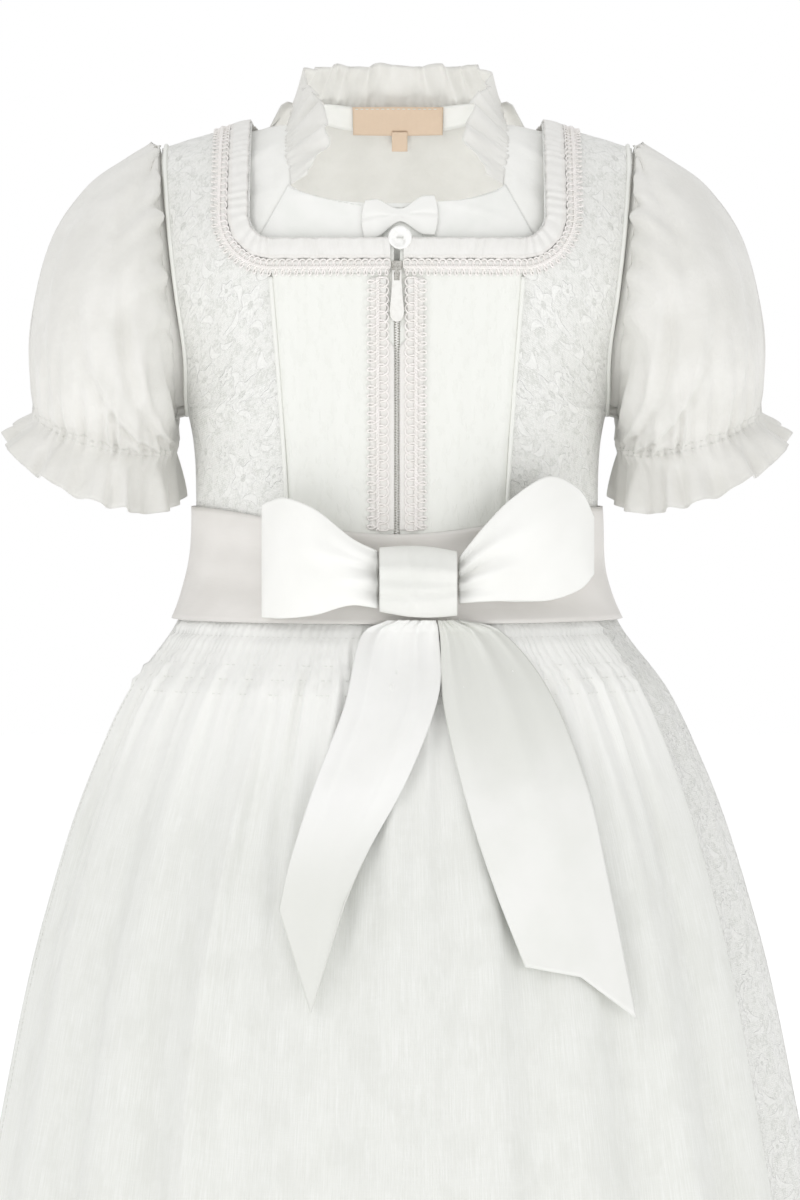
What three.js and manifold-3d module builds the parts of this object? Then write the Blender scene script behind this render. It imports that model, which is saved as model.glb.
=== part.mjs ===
// A child's dirndl: bodice, blouse with puff sleeves, gathered skirt, apron and sash bow.
// Millimetres, +Z up. The front faces -Y and +X is to the viewer's right.
// The origin lies between the shoulders at the height of the shoulder seams' neck ends.
import * as THREE from 'three';
import { mergeVertices } from 'three/addons/utils/BufferGeometryUtils.js';
import Module from 'manifold-3d';

const { sin, cos, acos, asin, exp, sqrt, abs, min, max, PI, sign } = Math;
const wasm = await Module();
wasm.setup();

// Driving sizes of the garment
const WALL = 1.3;             // cloth wall
const SEAM = 0.35;            // clear space at a seam
const ARCH = 80;              // height of the rounded shoulder above the straight chest
const NECK_RISE = 9;          // the shoulder line at the centre, above the origin
const SHOULDER_FALL = 24;     // its fall from the centre to the shoulder point
const SHOULDER_X = 123;       // half width at the shoulder points
const WAIST_Z = -240;
const WAIST_HALF = 106;
const HEM_Z = -667;
const APRON_HEM_Z = -642;
const UNDERARM_Z = -155;
const NECK_X = 76;            // half width of the bodice's square neckline
const NECK_Z = -63;           // its lower edge
const NECK_CORNER = 12;       // radius of its corners
const BLOUSE_NECK_X = 58;
const BLOUSE_LIFT = -4.6;     // the blouse lies this far inside the bodice's inner face
const ZIP_TOP = -75;
const ZIP_END = -214;
const GAP_HALF = 2.9;         // half of the slit that shows the zip

// Half widths and depths of the body, from the shoulder line (row 0) to the waist (row 2)
const TORSO = [
  { row: 0.0, half: 140, front: 84, back: 80 },
  { row: 0.5, half: 140, front: 84, back: 82 },
  { row: 1.0, half: 133, front: 86, back: 84 },
  { row: 1.25, half: 117, front: 86, back: 84 },
  { row: 1.5, half: 107, front: 84, back: 82 },
  { row: 1.75, half: 105, front: 80, back: 79 },
  { row: 2.0, half: WAIST_HALF, front: 78, back: 77 },
];

// Half widths and depths of the skirt, and the reach of its folds
const SKIRT = [
  { z: -200, half: 105.3, front: 79.5, back: 79, fold: 0 },
  { z: WAIST_Z, half: WAIST_HALF, front: 78, back: 77, fold: 0.3 },
  { z: -264, half: 113.5, front: 84, back: 84, fold: 1.0 },
  { z: -300, half: 139, front: 106, back: 108, fold: 3.0 },
  { z: -340, half: 158, front: 124, back: 128, fold: 4.2 },
  { z: -420, half: 184, front: 150, back: 156, fold: 5.8 },
  { z: -530, half: 207, front: 176, back: 184, fold: 7.4 },
  { z: HEM_Z, half: 231, front: 198, back: 207, fold: 9.0 },
];

// The armhole edge of the bodice, from the shoulder point to the underarm
const ARMHOLE = [
  { z: 0, x: 123.5 },
  { z: -15, x: 123.5 },
  { z: -43, x: 121 },
  { z: -91, x: 115.5 },
  { z: -128, x: 110.5 },
  { z: -143, x: 110.2 },
  { z: -151, x: 109.7 },
  { z: -158, x: 109.7 },
];

// The princess seam between the centre and side panels of the front
const PRINCESS = [
  { z: -62, x: 66 },
  { z: -84, x: 64.5 },
  { z: -140, x: 60 },
  { z: -196, x: 56.5 },
  { z: WAIST_Z, x: 55 },
];

// The seam between the centre and side panels of the back
const BACK_SEAM = [
  { z: -98, x: 113.5 },
  { z: -110, x: 100 },
  { z: -125, x: 84 },
  { z: -150, x: 65 },
  { z: -190, x: 48 },
  { z: WAIST_Z, x: 40 },
];

// Sections of a puff sleeve, each from its outer end to its inner one, with half its depth and
// how much lower its front is; seat is the share of the section that still follows the armhole,
// stand its rise there
const SLEEVE = [
  { seat: 1, stand: 0, topX: 124, topZ: -15, lowX: 107, lowZ: -153, depth: 41, dip: 0, fold: 0 },
  { seat: 1, stand: 4.4, topX: 124, topZ: -15, lowX: 107, lowZ: -153, depth: 41, dip: 0, fold: 0 },
  { seat: 0.45, stand: 5, topX: 130, topZ: -16, lowX: 121, lowZ: -153, depth: 58, dip: 0, fold: 2.2 },
  { seat: 0.1, stand: 5, topX: 144, topZ: -23, lowX: 118.5, lowZ: -157, depth: 62, dip: 0, fold: 2.6 },
  { seat: 0, stand: 0, topX: 163, topZ: -37, lowX: 116.5, lowZ: -160, depth: 65, dip: 1, fold: 2.0 },
  { seat: 0, stand: 0, topX: 182, topZ: -66, lowX: 117, lowZ: -162.5, depth: 66, dip: 3, fold: 1.6 },
  { seat: 0, stand: 0, topX: 192, topZ: -108, lowX: 117.5, lowZ: -165.5, depth: 60, dip: 6, fold: 1.8 },
  { seat: 0, stand: 0, topX: 191.5, topZ: -140, lowX: 118, lowZ: -168.5, depth: 46, dip: 8, fold: 1.8 },
  { seat: 0, stand: 0, topX: 190, topZ: -152, lowX: 118.5, lowZ: -171.5, depth: 37, dip: 9, fold: 0.7 },
  { seat: 0, stand: 0, topX: 197, topZ: -161, lowX: 119, lowZ: -180, depth: 40.5, dip: 11, fold: 2.4 },
  { seat: 0, stand: 0, topX: 206, topZ: -169, lowX: 117, lowZ: -201, depth: 47, dip: 14, fold: 4.4 },
];
const SKIRT_WAVES = 24;
// The uneven folds of the skirt, as waves round it with their share of the reach
const SKIRT_FOLDS = [
  { waves: SKIRT_WAVES, share: 0.6, shift: PI / 2 },
  { waves: 5, share: 0.25, shift: 1 },
  { waves: 9, share: 0.15, shift: 0 },
];
const SKIRT_STEP = PI / 48;
const SLEEVE_STEPS = 40;
const SLEEVE_WAVES = 10;
const SLEEVE_DRIFT = { waves: 5, share: 0.3, turn: 0.4 };   // uneven share of its folds
const HEAD_STAND = { top: 0.8, low: 1.8 };                  // how far the head stands off

// Necklines and blouse
const NECK_ARC = 2.4;             // how square the back neckline's arc is
const BACK_NECK_ROW = 0.56;
const NAPE = { rise: 17, half: 68, row: 0.53 };   // the blouse's rise behind the neck
const BLOUSE_BACK_ROW = 0.36;
const BLOUSE_ARC = 2.2;
const BLOUSE_CORNER_Z = -33;      // the blouse band's top edge at its ends
const BLOUSE_TOP_ROW = 0.62;
const BLOUSE_DIP_Z = -44;         // and at the centre
const NECK_SHARE = 0.24;          // share of the blouse's neckline that lies in front, each side
const NECK_DRAW = 3;              // its front corners are drawn in this much
const RUFFLE_WAVES = 22;
// The frill's widths, how far it leans inwards and how deep it waves
const RUFFLE = { wide: 25, front: 24, end: 9, thick: 1, leanBack: 0.45, leanFront: 1.6,
  foot: 0.4, edge: 3.1, calm: 0.5,           // calmer where it turns at the shoulders
  sink: 0.3, sinkAt: 0.07, sinkWide: 0.11 }; // narrower just behind there
const BAND = { top: 0.5, low: 8, reach: 1.45 };
const LABEL = { x: 0.5, z: 15, wide: 51, high: 16.4 };
const SIZE_TAG = { x: 1.5, z: 1, wide: 9, high: 10 };
const TAG_WALL = 0.8;
const SLEEVE_GAP = 1.3;
const UNDERARM_GAP = 3;
const EDGE_STEP = 0.03;           // how far apart the armhole's direction is taken, in radians

// The seam between the blouse's front band and its side
const BLOUSE_SEAM = [
  { z: 3, x: 58 },
  { z: -32, x: 57 },
  { z: -63, x: 74 },
  { z: -90, x: 80 },
  { z: -180, x: 80 },
];

// Apron and sash
const APRON_TOP = -248;
const APRON_LEFT = 20;            // columns of the skirt that the apron covers on each side
const APRON_RIGHT = 17;
const APRON_LIFT = 2.1;
const SHIRR_TOP = -264;
const SHIRR_ROWS = 3;
const SHIRR_PITCH = 12;
const SHIRR_RISE = 1.1;
const SASH_TOP = -203;
const SASH_LOW = -262;
const SASH_DIP = 13;              // the sash's top edge sinks this much at the centre front
const SASH_LIFT = { top: 2.0, low: 5.4 };
const TAIL_REST = 0.6;            // clear space between a tail and the apron
const TAIL_DROP = 4;              // a tail's root follows the skirt this far below the sash

// Trims and piping
const TRIM_STEPS = 44;
const TRIM_START = 3.4;
const ROW_LENGTH = ARCH * PI / 2;  // arc length of one row of the rounded shoulder
const TRIM_LIFT = WALL + 0.5;
const TRIM = { front: 0.24, corner: 0.32, shoulder: 0.62 };
const TRIM_WALL = 0.9;
// The ruched ribbon and the looped gimp, as distances out from the neckline's edge
const RUCHE = { inner: 0.8, outer: 10.5, loop: 0, rise: 0.8 };
const GIMP = { inner: 11, outer: 18.3, loop: 1.8, rise: 0.3 };
const ZIP_SCALLOPS = 16;
const ZIP_BRAID = { inner: TRIM_START, outer: 13, loop: 2.2, top: -84.2, thick: 1.2 };
const PIPING_TOP = -85.5;
const PIPING = 1.0;
const PIPING_LIFT = WALL + 0.8 + PIPING;
const PIPING_END = -207;
const PIPING_INSET = 2.6;
const PIPING_GAP = 0.008;         // share of the armhole that each end stops short of its middle

// Zip, button and small bow
const TEETH_RISE = 0.9;
const TEETH_HALF = 1.7;
const TAPE = { half: 9, low: -1.7, high: -0.5, end: -234 };
const SLIDER_LOW = -86;
const SLIDER_LIFT = 1.2;
const SLIDER = { top: 5.4, low: 4.4, long: 10.5, thick: 1.8 };
const BRIDGE = { long: 4.6, wide: 1.8, high: 3.2, wire: 0.9, foot: 0.6 };
// The pull tab's half widths, lengths below the hinge, and half thickness
const TAB = { neck: 2.4, wide: 3.7, slot: 1.35, window: 4.6, long: 26, bar: 0.6, rise: 1.2 };
const BUTTON = { x: 1.6, z: -63.5, radius: 6.2, thick: 2.2, bevel: 0.5, apart: 1.6, hole: 0.8 };
const SMALL_BOW = { x: 1.5, z: -51, half: 20, knot: 3.6, wing: 10, droop: 1.2, puff: 2.2,
  rest: 0.5, thick: 1 };

// The sash bow: its knot, loops and tails
const KNOT_LEFT = -9;
const KNOT_RIGHT = 31;
const KNOT_Y = -96;
const KNOT_Z = -239;
const KNOT_HIGH = 16;
const KNOT_DEEP = 8.5;
const KNOT_SWELL = 0.12;          // its middle is this share thicker
const KNOT_SLANT = 2;
const KNOT_WALL = 1.8;
const LOOP_LEFT = [
  { x: -9.4, y: -97.5, top: -224.2, low: -253.4, bulge: 0 },
  { x: -24, y: -101, top: -217, low: -252, bulge: 2 },
  { x: -42, y: -99, top: -203, low: -257, bulge: 4 },
  { x: -58, y: -92, top: -197, low: -259, bulge: 4 },
  { x: -67, y: -85, top: -199, low: -259, bulge: 3 },
  { x: -70.5, y: -80, top: -201, low: -259, bulge: 0 },
  { x: -67, y: -76.5, top: -200, low: -259, bulge: 0 },
  { x: -56, y: -82, top: -200, low: -257, bulge: 0 },
  { x: -40, y: -87, top: -208, low: -253, bulge: 0 },
  { x: -24, y: -90, top: -220, low: -249, bulge: 0 },
  { x: -9.4, y: -92.5, top: -225.4, low: -252.6, bulge: 0 },
];
const LOOP_RIGHT = [
  { x: 31.8, y: -90, top: -233, low: -249, bulge: 0 },
  { x: 46, y: -84.5, top: -220, low: -250, bulge: 0 },
  { x: 62, y: -77, top: -206, low: -251, bulge: 0 },
  { x: 79, y: -67, top: -195, low: -250, bulge: 0 },
  { x: 94, y: -56, top: -196, low: -243, bulge: 0 },
  { x: 102, y: -55, top: -205, low: -238, bulge: 0 },
  { x: 102.5, y: -61, top: -206, low: -238, bulge: 0 },
  { x: 95, y: -71, top: -193, low: -245, bulge: 3 },
  { x: 79, y: -84, top: -186, low: -250, bulge: 4 },
  { x: 60, y: -93, top: -197, low: -250, bulge: 4 },
  { x: 45, y: -97, top: -212, low: -250, bulge: 2 },
  { x: 31.8, y: -96, top: -228, low: -251, bulge: 0 },
];
const TAIL_LEFT = [
  { leftX: -5, leftZ: -260, rightX: 20, rightZ: -260, point: 0, proud: 2 },
  { leftX: -19, leftZ: -269, rightX: 21.5, rightZ: -267, point: 0, proud: 1 },
  { leftX: -27, leftZ: -303, rightX: 21.5, rightZ: -297, point: 0, proud: 1 },
  { leftX: -42, leftZ: -342, rightX: 6, rightZ: -338, point: 0, proud: 0 },
  { leftX: -54, leftZ: -379, rightX: -14, rightZ: -374, point: 0, proud: 0 },
  { leftX: -60, leftZ: -404, rightX: -27, rightZ: -401, point: 53, proud: 0 },
];
const TAIL_RIGHT = [
  { leftX: 21, leftZ: -260, rightX: 34, rightZ: -260, point: 0, proud: 2 },
  { leftX: 22.4, leftZ: -271, rightX: 55, rightZ: -267, point: 0, proud: 1 },
  { leftX: 24, leftZ: -304, rightX: 79, rightZ: -297, point: 0, proud: 1 },
  { leftX: 36, leftZ: -353, rightX: 98, rightZ: -345, point: 0, proud: 0 },
  { leftX: 50, leftZ: -395, rightX: 108, rightZ: -390, point: 0, proud: 0 },
  { leftX: 65, leftZ: -433, rightX: 122, rightZ: -461, point: -8, proud: 0 },
];

const vec = (x, y, z) => new THREE.Vector3(x, y, z);
const mix = (a, b, t) => a + (b - a) * t;
const clamp = (t, lo = 0, hi = 1) => min(hi, max(lo, t));
const smooth = (t) => { const c = clamp(t); return c * c * (3 - 2 * c); };
const quarter = PI / 2;

// Reads a column of a table at a key, straight between its rows
function read(table, key, at, column) {
  const falls = table[0][key] > table[table.length - 1][key];
  const inside = (i) => (falls ? at >= table[i + 1][key] : at <= table[i + 1][key]);
  let i = 0;
  while (i < table.length - 2 && !inside(i)) i += 1;
  const [a, b] = [table[i], table[i + 1]];
  return mix(a[column], b[column], clamp((at - a[key]) / (b[key] - a[key])));
}

// Reads it with eased tangents, for outlines that must look round
function readRound(table, key, at, column) {
  const step = abs(table[table.length - 1][key] - table[0][key]) / 40;
  const near = [-1, 0, 1].map((k) => read(table, key, at + k * step, column));
  return (near[0] + 2 * near[1] + near[2]) / 4;
}

const shoulderZ = (x) => NECK_RISE - SHOULDER_FALL * (abs(x) / SHOULDER_X) ** 1.7;

// A point of the body's surface: row 0 is the shoulder line, rows 1 to 2 run down to the waist,
// positive in front and negative behind; turn is the angle round from the centre
function torsoTurn(turn, row) {
  const r = abs(row);
  const half = readRound(TORSO, 'row', r, 'half');
  const deep = readRound(TORSO, 'row', r, row >= 0 ? 'front' : 'back');
  const x = half * sin(turn);
  const bow = r < 1 ? sin(quarter * r) : 1;
  const top = shoulderZ(x) + nape(x, row);
  const z = r < 1 ? top - ARCH * (1 - cos(quarter * r)) : mix(top - ARCH, WAIST_Z, r - 1);
  return vec(x, -sign(row) * deep * bow * cos(turn), z);
}

// What the blouse rises behind the neck, inside the bodice's neckline
function nape(x, row) {
  if (row >= 0 || abs(x) >= NAPE.half) return 0;
  const reach = NAPE.row * (1 - (abs(x) / NAPE.half) ** NECK_ARC) ** (1 / NECK_ARC);
  return NAPE.rise * smooth((1 + row / reach) / 0.45) * smooth(-row / 0.2);
}

function rowAt(x, z) {
  const fall = shoulderZ(x) - z;
  if (fall < ARCH) return acos(1 - clamp(fall / ARCH)) / quarter;
  return 1 + (fall - ARCH) / (shoulderZ(x) - ARCH - WAIST_Z);
}

function turnAt(x, row) {
  return asin(clamp(x / readRound(TORSO, 'row', abs(row), 'half'), -1, 1));
}

// The surface's outward direction at a point of any two-way surface
function facing(surface, a, b) {
  const d = 0.004;
  const along = surface(a + d, b).sub(surface(a - d, b));
  const across = surface(a, b + d).sub(surface(a, b - d));
  return along.cross(across).normalize();
}

function torsoLift(turn, row, lift) {
  const out = facing(torsoTurn, turn, row);
  const point = torsoTurn(turn, row);
  if (out.dot(vec(point.x, point.y * 1.5, point.z + 110)) < 0) out.negate();
  return point.addScaledVector(out, lift);
}

// The same by x and z, in front (side 1) or behind (side -1)
function torsoAt(x, z, side, lift) {
  const row = side * rowAt(x, z);
  return torsoLift(turnAt(x, row), row, lift);
}

// The skirt's surface, with its folds; turn 0 is the front centre and PI the back
function skirtFold(turn) {
  return SKIRT_FOLDS.reduce((sum, f) => sum + f.share * sin(f.waves * turn + f.shift), 0);
}

function skirtTurn(turn, z) {
  const behind = cos(turn) < 0;
  const half = readRound(SKIRT, 'z', z, 'half');
  const deep = readRound(SKIRT, 'z', z, behind ? 'back' : 'front');
  const grow = 1 + read(SKIRT, 'z', z, 'fold') * skirtFold(turn) / half;
  return vec(half * sin(turn) * grow, -deep * cos(turn) * grow, z);
}

function skirtLift(turn, z, lift) {
  const d = 0.035;
  const along = skirtTurn(turn + d, z).sub(skirtTurn(turn - d, z));
  const down = skirtTurn(turn, z + 2).sub(skirtTurn(turn, z - 2));
  const out = along.cross(down).normalize();
  return skirtTurn(turn, z).addScaledVector(out, lift);
}

// Closes a wall from a grid of outer points and one of inner points
function wall(outer, inner, ring = false) {
  const rows = outer.length;
  const columns = outer[0].length;
  const points = [...outer.flat(), ...inner.flat()];
  const shift = rows * columns;
  const faces = [];
  const quad = (a, b, c, d) => faces.push(a, b, c, a, c, d);
  const at = (i, j) => i * columns + (j % columns);
  const spans = ring ? columns : columns - 1;
  for (let i = 0; i < rows - 1; i += 1) {
    for (let j = 0; j < spans; j += 1) {
      quad(at(i, j), at(i, j + 1), at(i + 1, j + 1), at(i + 1, j));
      quad(shift + at(i, j), shift + at(i + 1, j), shift + at(i + 1, j + 1), shift + at(i, j + 1));
    }
  }
  for (let j = 0; j < spans; j += 1) {
    quad(at(0, j + 1), at(0, j), shift + at(0, j), shift + at(0, j + 1));
    const last = rows - 1;
    quad(at(last, j), at(last, j + 1), shift + at(last, j + 1), shift + at(last, j));
  }
  for (let i = 0; !ring && i < rows - 1; i += 1) {
    const last = columns - 1;
    quad(at(i, 0), at(i + 1, 0), shift + at(i + 1, 0), shift + at(i, 0));
    quad(at(i + 1, last), at(i, last), shift + at(i, last), shift + at(i + 1, last));
  }
  return solid(points, faces);
}

// A closed geometry whose faces point out
function solid(points, faces) {
  let volume = 0;
  for (let i = 0; i < faces.length; i += 3) {
    const [a, b, c] = [points[faces[i]], points[faces[i + 1]], points[faces[i + 2]]];
    volume += a.dot(b.clone().cross(c));
  }
  if (volume < 0) {
    for (let i = 0; i < faces.length; i += 3) [faces[i], faces[i + 1]] = [faces[i + 1], faces[i]];
  }
  const geometry = new THREE.BufferGeometry();
  geometry.setAttribute('position',
    new THREE.Float32BufferAttribute(points.flatMap((p) => [p.x, p.y, p.z]), 3));
  geometry.setIndex(faces);
  geometry.computeVertexNormals();
  return geometry;
}

const steps = (count) => Array.from({ length: count + 1 }, (_, i) => i / count);

// A wall over rows and columns of shares; place(u, v, lift) gives its points, and
// raise(u, v) lifts the outer ones alone
function cloth(columns, rows, place, { low = 0, high = WALL, ring = false, raise = () => 0 } = {}) {
  const across = ring ? columns.slice(0, -1) : columns;
  const grid = (lift, add) => rows.map((v) => across.map((u) => place(u, v, lift + add(u, v))));
  return wall(grid(high, raise), grid(low, () => 0), ring);
}

// A round cord along a list of points
function cord(points, radius) {
  const curve = new THREE.CatmullRomCurve3(points);
  const profile = new THREE.Shape();
  profile.absarc(0, 0, radius, 0, 2 * PI, false);
  const settings = { steps: points.length - 1, curveSegments: 3, extrudePath: curve };
  return new THREE.ExtrudeGeometry(profile, settings);
}

const dirndl = new THREE.Group();

const FINISH = {
  brocade: { color: 0xf0f0ea, roughness: 0.55, metalness: 0 },
  satin: { color: 0xf6f4ef, roughness: 0.35, metalness: 0 },
  batiste: { color: 0xf1efec, roughness: 0.85, metalness: 0 },
  lace: { color: 0xf3efeb, roughness: 0.8, metalness: 0 },
  slub: { color: 0xeff0ec, roughness: 0.8, metalness: 0 },
  label: { color: 0xd8c0ab, roughness: 0.7, metalness: 0 },
  enamel: { color: 0xeceae4, roughness: 0.3, metalness: 0.2 },
  steel: { color: 0xb9b5ae, roughness: 0.3, metalness: 0.9 },
};

// Two solids made one
function joined(...geometries) {
  const bodies = geometries.map((geometry) => {
    geometry.deleteAttribute('normal');
    geometry.deleteAttribute('uv');
    const merged = mergeVertices(geometry, 1e-4);
    return new wasm.Manifold(new wasm.Mesh({ numProp: 3,
      vertProperties: merged.attributes.position.array, triVerts: merged.index.array }));
  });
  const mesh = bodies.reduce((sum, body) => sum.add(body)).getMesh();
  const geometry = new THREE.BufferGeometry();
  geometry.setAttribute('position', new THREE.Float32BufferAttribute(mesh.vertProperties, 3));
  geometry.setIndex([...mesh.triVerts]);
  return geometry;
}

function add(name, geometry, finish, position = vec(0, 0, 0)) {
  const mesh = new THREE.Mesh(geometry, new THREE.MeshStandardMaterial(FINISH[finish]));
  mesh.name = name;
  mesh.position.copy(position);
  dirndl.add(mesh);
}

const SIDES = [{ name: 'left', hand: -1 }, { name: 'right', hand: 1 }];
const WAIST_ROW = 1.998;
const ROW_START = 0.004;        // half of the shoulder seam's gap, in rows
const LOWER_ROWS = [1.06, 1.18, 1.3, 1.38, 1.437, 1.55, 1.77, WAIST_ROW];

// Finds the turn on a row of a line that is given as x at each height
function turnOn(line, row) {
  let x = line(torsoTurn(0, row).z);
  for (let i = 0; i < 3; i += 1) x = line(torsoTurn(turnAt(x, row), row).z);
  return turnAt(x, row);
}

const armholeX = (z) => readRound(ARMHOLE, 'z', z, 'x');
const princessX = (z) => read(PRINCESS, 'z', z, 'x');
const backSeamX = (z) => (z > BACK_SEAM[0].z ? armholeX(z) : read(BACK_SEAM, 'z', z, 'x'));

// The outer edge of a front or back: the armhole, then the side seam
function outerTurn(row) {
  const seam = quarter - SEAM / 2 / TORSO[0].front;
  if (torsoTurn(quarter, row).z < UNDERARM_Z) return seam;
  return min(seam, turnOn(armholeX, row));
}

// A panel between two lines of turns, down a list of rows
function panel(hand, side, inner, outer, across, rows, settings) {
  const place = (u, row, lift) => (
    torsoLift(hand * mix(inner(side * row), outer(side * row), u), side * row, lift));
  return cloth(steps(across), rows, place, settings);
}

// The inner edge of the front's side panel: neckline, round corner, then princess seam
function frontInner(z) {
  const seam = princessX(z) + SEAM / 2;
  if (z <= NECK_Z) return seam;
  if (z > NECK_Z + NECK_CORNER) return NECK_X;
  const drop = (NECK_Z + NECK_CORNER - z) / NECK_CORNER;
  return max(seam, NECK_X - NECK_CORNER * (1 - sqrt(1 - drop * drop)));
}

// The back's neckline, as an arc of rows and x
const backNeckRow = (x, out = 0) => {
  const share = clamp(abs(x) / (NECK_X + out)) ** NECK_ARC;
  return (BACK_NECK_ROW + out / ROW_LENGTH) * (1 - share) ** (1 / NECK_ARC);
};

// Bodice

for (const { name, hand } of SIDES) {
  const sideRows = [ROW_START, 0.2, 0.45, 0.6, 0.7, 0.78, 0.83, 0.87, 0.92, ...LOWER_ROWS];
  const inner = (row) => turnOn(frontInner, row);
  const side = panel(hand, 1, inner, outerTurn, 5, sideRows);
  add(`bodice_side_${name}`, side, 'brocade');

  const centre = (u, v, lift) => {
    const row = v > 0 ? v : rowAt(mix(GAP_HALF, PRINCESS[0].x, u), NECK_Z);
    const edge = v > 0 ? turnOn((z) => princessX(z) - SEAM / 2, v)
      : turnAt(PRINCESS[0].x - SEAM / 2, row);
    return torsoLift(hand * mix(turnAt(GAP_HALF, row), edge, u), row, lift);
  };
  add(`bodice_centre_${name}`, cloth(steps(5), [0, ...LOWER_ROWS], centre), 'satin');

  const backInner = (row) => turnOn((z) => backSeamX(z) + SEAM / 2, row);
  const backSide = panel(hand, -1, backInner, outerTurn, 5, LOWER_ROWS);
  add(`bodice_back_${name}`, backSide, 'brocade');
}

function backCentre(u, v, lift) {
  const edge = 2 * u - 1;
  const line = (z) => backSeamX(z) - (z > BACK_SEAM[0].z ? 0 : SEAM / 2);
  const top = max(ROW_START, backNeckRow(edge * SHOULDER_X));
  const row = -mix(top, WAIST_ROW, v / WAIST_ROW);
  return torsoLift(edge * turnOn(line, -abs(row)), row, lift);
}
const backRows = [0, 0.14, 0.3, 0.5, 0.75, ...LOWER_ROWS];
const BACK_HALF = [0, 0.1, 0.185, 0.2, 0.22, 0.25, 0.31, 0.4];
const mirrored = (half) => [...half, 0.5, ...half.map((u) => 1 - u).reverse()];
add('bodice_back_centre', cloth(mirrored(BACK_HALF), backRows, backCentre), 'brocade');

// Blouse

const BLOUSE_LOW_ROW = 1.55;
const blouseWall = { low: BLOUSE_LIFT, high: BLOUSE_LIFT + WALL };
const blouseSeamX = (z) => read(BLOUSE_SEAM, 'z', z, 'x');
const BLOUSE_ROWS = [ROW_START, 0.2, 0.4, 0.6, 0.8, 0.95, 1.18, 1.45, BLOUSE_LOW_ROW];

for (const { name, hand } of SIDES) {
  const inner = (row) => turnOn((z) => blouseSeamX(z) + SEAM, row);
  const side = panel(hand, 1, inner, outerTurn, 4, BLOUSE_ROWS, blouseWall);
  add(`blouse_side_${name}`, side, 'batiste');
}

function blouseFront(u, v, lift) {
  const edge = 2 * u - 1;
  const isTop = v < BLOUSE_ROWS[4];
  const seamTurn = turnOn((z) => blouseSeamX(z) - SEAM, isTop ? BLOUSE_TOP_ROW : v);
  if (!isTop) return torsoLift(edge * seamTurn, v, lift);
  const x = torsoTurn(seamTurn, BLOUSE_TOP_ROW).x * edge;
  const row = rowAt(x, mix(BLOUSE_DIP_Z, BLOUSE_CORNER_Z, edge * edge));
  return torsoLift(turnAt(x, row), row, lift);
}
const frontRows = [BLOUSE_TOP_ROW, ...BLOUSE_ROWS.slice(4)];
add('blouse_front', cloth(steps(8), frontRows, blouseFront, blouseWall), 'satin');

const blouseBackRow = (x) => (
  BLOUSE_BACK_ROW * (1 - clamp(abs(x) / BLOUSE_NECK_X) ** BLOUSE_ARC) ** (1 / BLOUSE_ARC));

function blouseBack(u, v, lift) {
  const edge = 2 * u - 1;
  const row = -mix(max(ROW_START, blouseBackRow(edge * SHOULDER_X)), BLOUSE_LOW_ROW, v);
  return torsoLift(edge * outerTurn(row), row, lift);
}
const blouseColumns = mirrored([0, 0.13, 0.262, 0.275, 0.3, 0.36, 0.43]);
const backSteps = [0, 0.12, 0.25, 0.4, 0.6, 0.8, 1];
add('blouse_back', cloth(blouseColumns, backSteps, blouseBack, blouseWall), 'batiste');

// The blouse's neckline, from its left front corner round the back to its right one
function neckPoint(t, lift, drop = 0) {
  const start = rowAt(BLOUSE_NECK_X, BLOUSE_CORNER_Z);
  if (t < NECK_SHARE || t > 1 - NECK_SHARE) {
    const up = min(t, 1 - t) / NECK_SHARE;
    const row = mix(start, 0.001, up);
    const x = mix(BLOUSE_NECK_X - NECK_DRAW, BLOUSE_NECK_X, smooth(up * 3)) + drop;
    return torsoLift(sign(t - 0.5) * turnAt(x, row), row, lift);
  }
  const angle = PI * (t - NECK_SHARE) / (1 - 2 * NECK_SHARE);
  const arc = 2 / BLOUSE_ARC;
  const x = -(BLOUSE_NECK_X + drop) * sign(cos(angle)) * abs(cos(angle)) ** arc;
  const row = -(BLOUSE_BACK_ROW + drop / ROW_LENGTH) * max(0.001, sin(angle)) ** arc;
  return torsoLift(turnAt(x, row), row, lift);
}

// A frill that stands up from the neckline and leans inwards, more so in front
function neckRuffle(u, v, lift) {
  const base = neckPoint(u, BLOUSE_LIFT + WALL + SEAM);
  const out = neckPoint(u, 1).sub(neckPoint(u, 0)).add(vec(0, 0, 3)).normalize();
  const front = smooth((NECK_SHARE * 1.1 - min(u, 1 - u)) / NECK_SHARE);
  const inward = vec(-base.x, -base.y * (1 - front), 0).normalize();
  const lean = mix(RUFFLE.leanBack, RUFFLE.leanFront, front);
  const rise = out.addScaledVector(inward, lean).normalize();
  const tangent = neckPoint(clamp(u + 0.004), 0).sub(neckPoint(clamp(u - 0.004), 0)).normalize();
  const across = tangent.cross(rise).normalize();
  const ends = smooth(min(u, 1 - u) / 0.05);
  const round = (min(u, 1 - u) - NECK_SHARE - RUFFLE.sinkAt) / RUFFLE.sinkWide;
  const full = mix(RUFFLE.wide, RUFFLE.front, front) * (1 - RUFFLE.sink * exp(-(round ** 2)));
  const width = mix(RUFFLE.end, full, ends);
  const corner = exp(-(((min(u, 1 - u) - NECK_SHARE) / 0.04) ** 2));
  const deep = mix(RUFFLE.foot, RUFFLE.edge, v) * (1 - RUFFLE.calm * corner) * ends;
  const wave = deep * cos(2 * PI * RUFFLE_WAVES * u);
  return base.addScaledVector(rise, width * v).addScaledVector(across, wave + lift);
}
const ruffleWall = { high: RUFFLE.thick };
const ruffle = cloth(steps(RUFFLE_WAVES * 4), [0, 0.4, 1], neckRuffle, ruffleWall);
add('neck_ruffle', ruffle, 'batiste');

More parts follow.
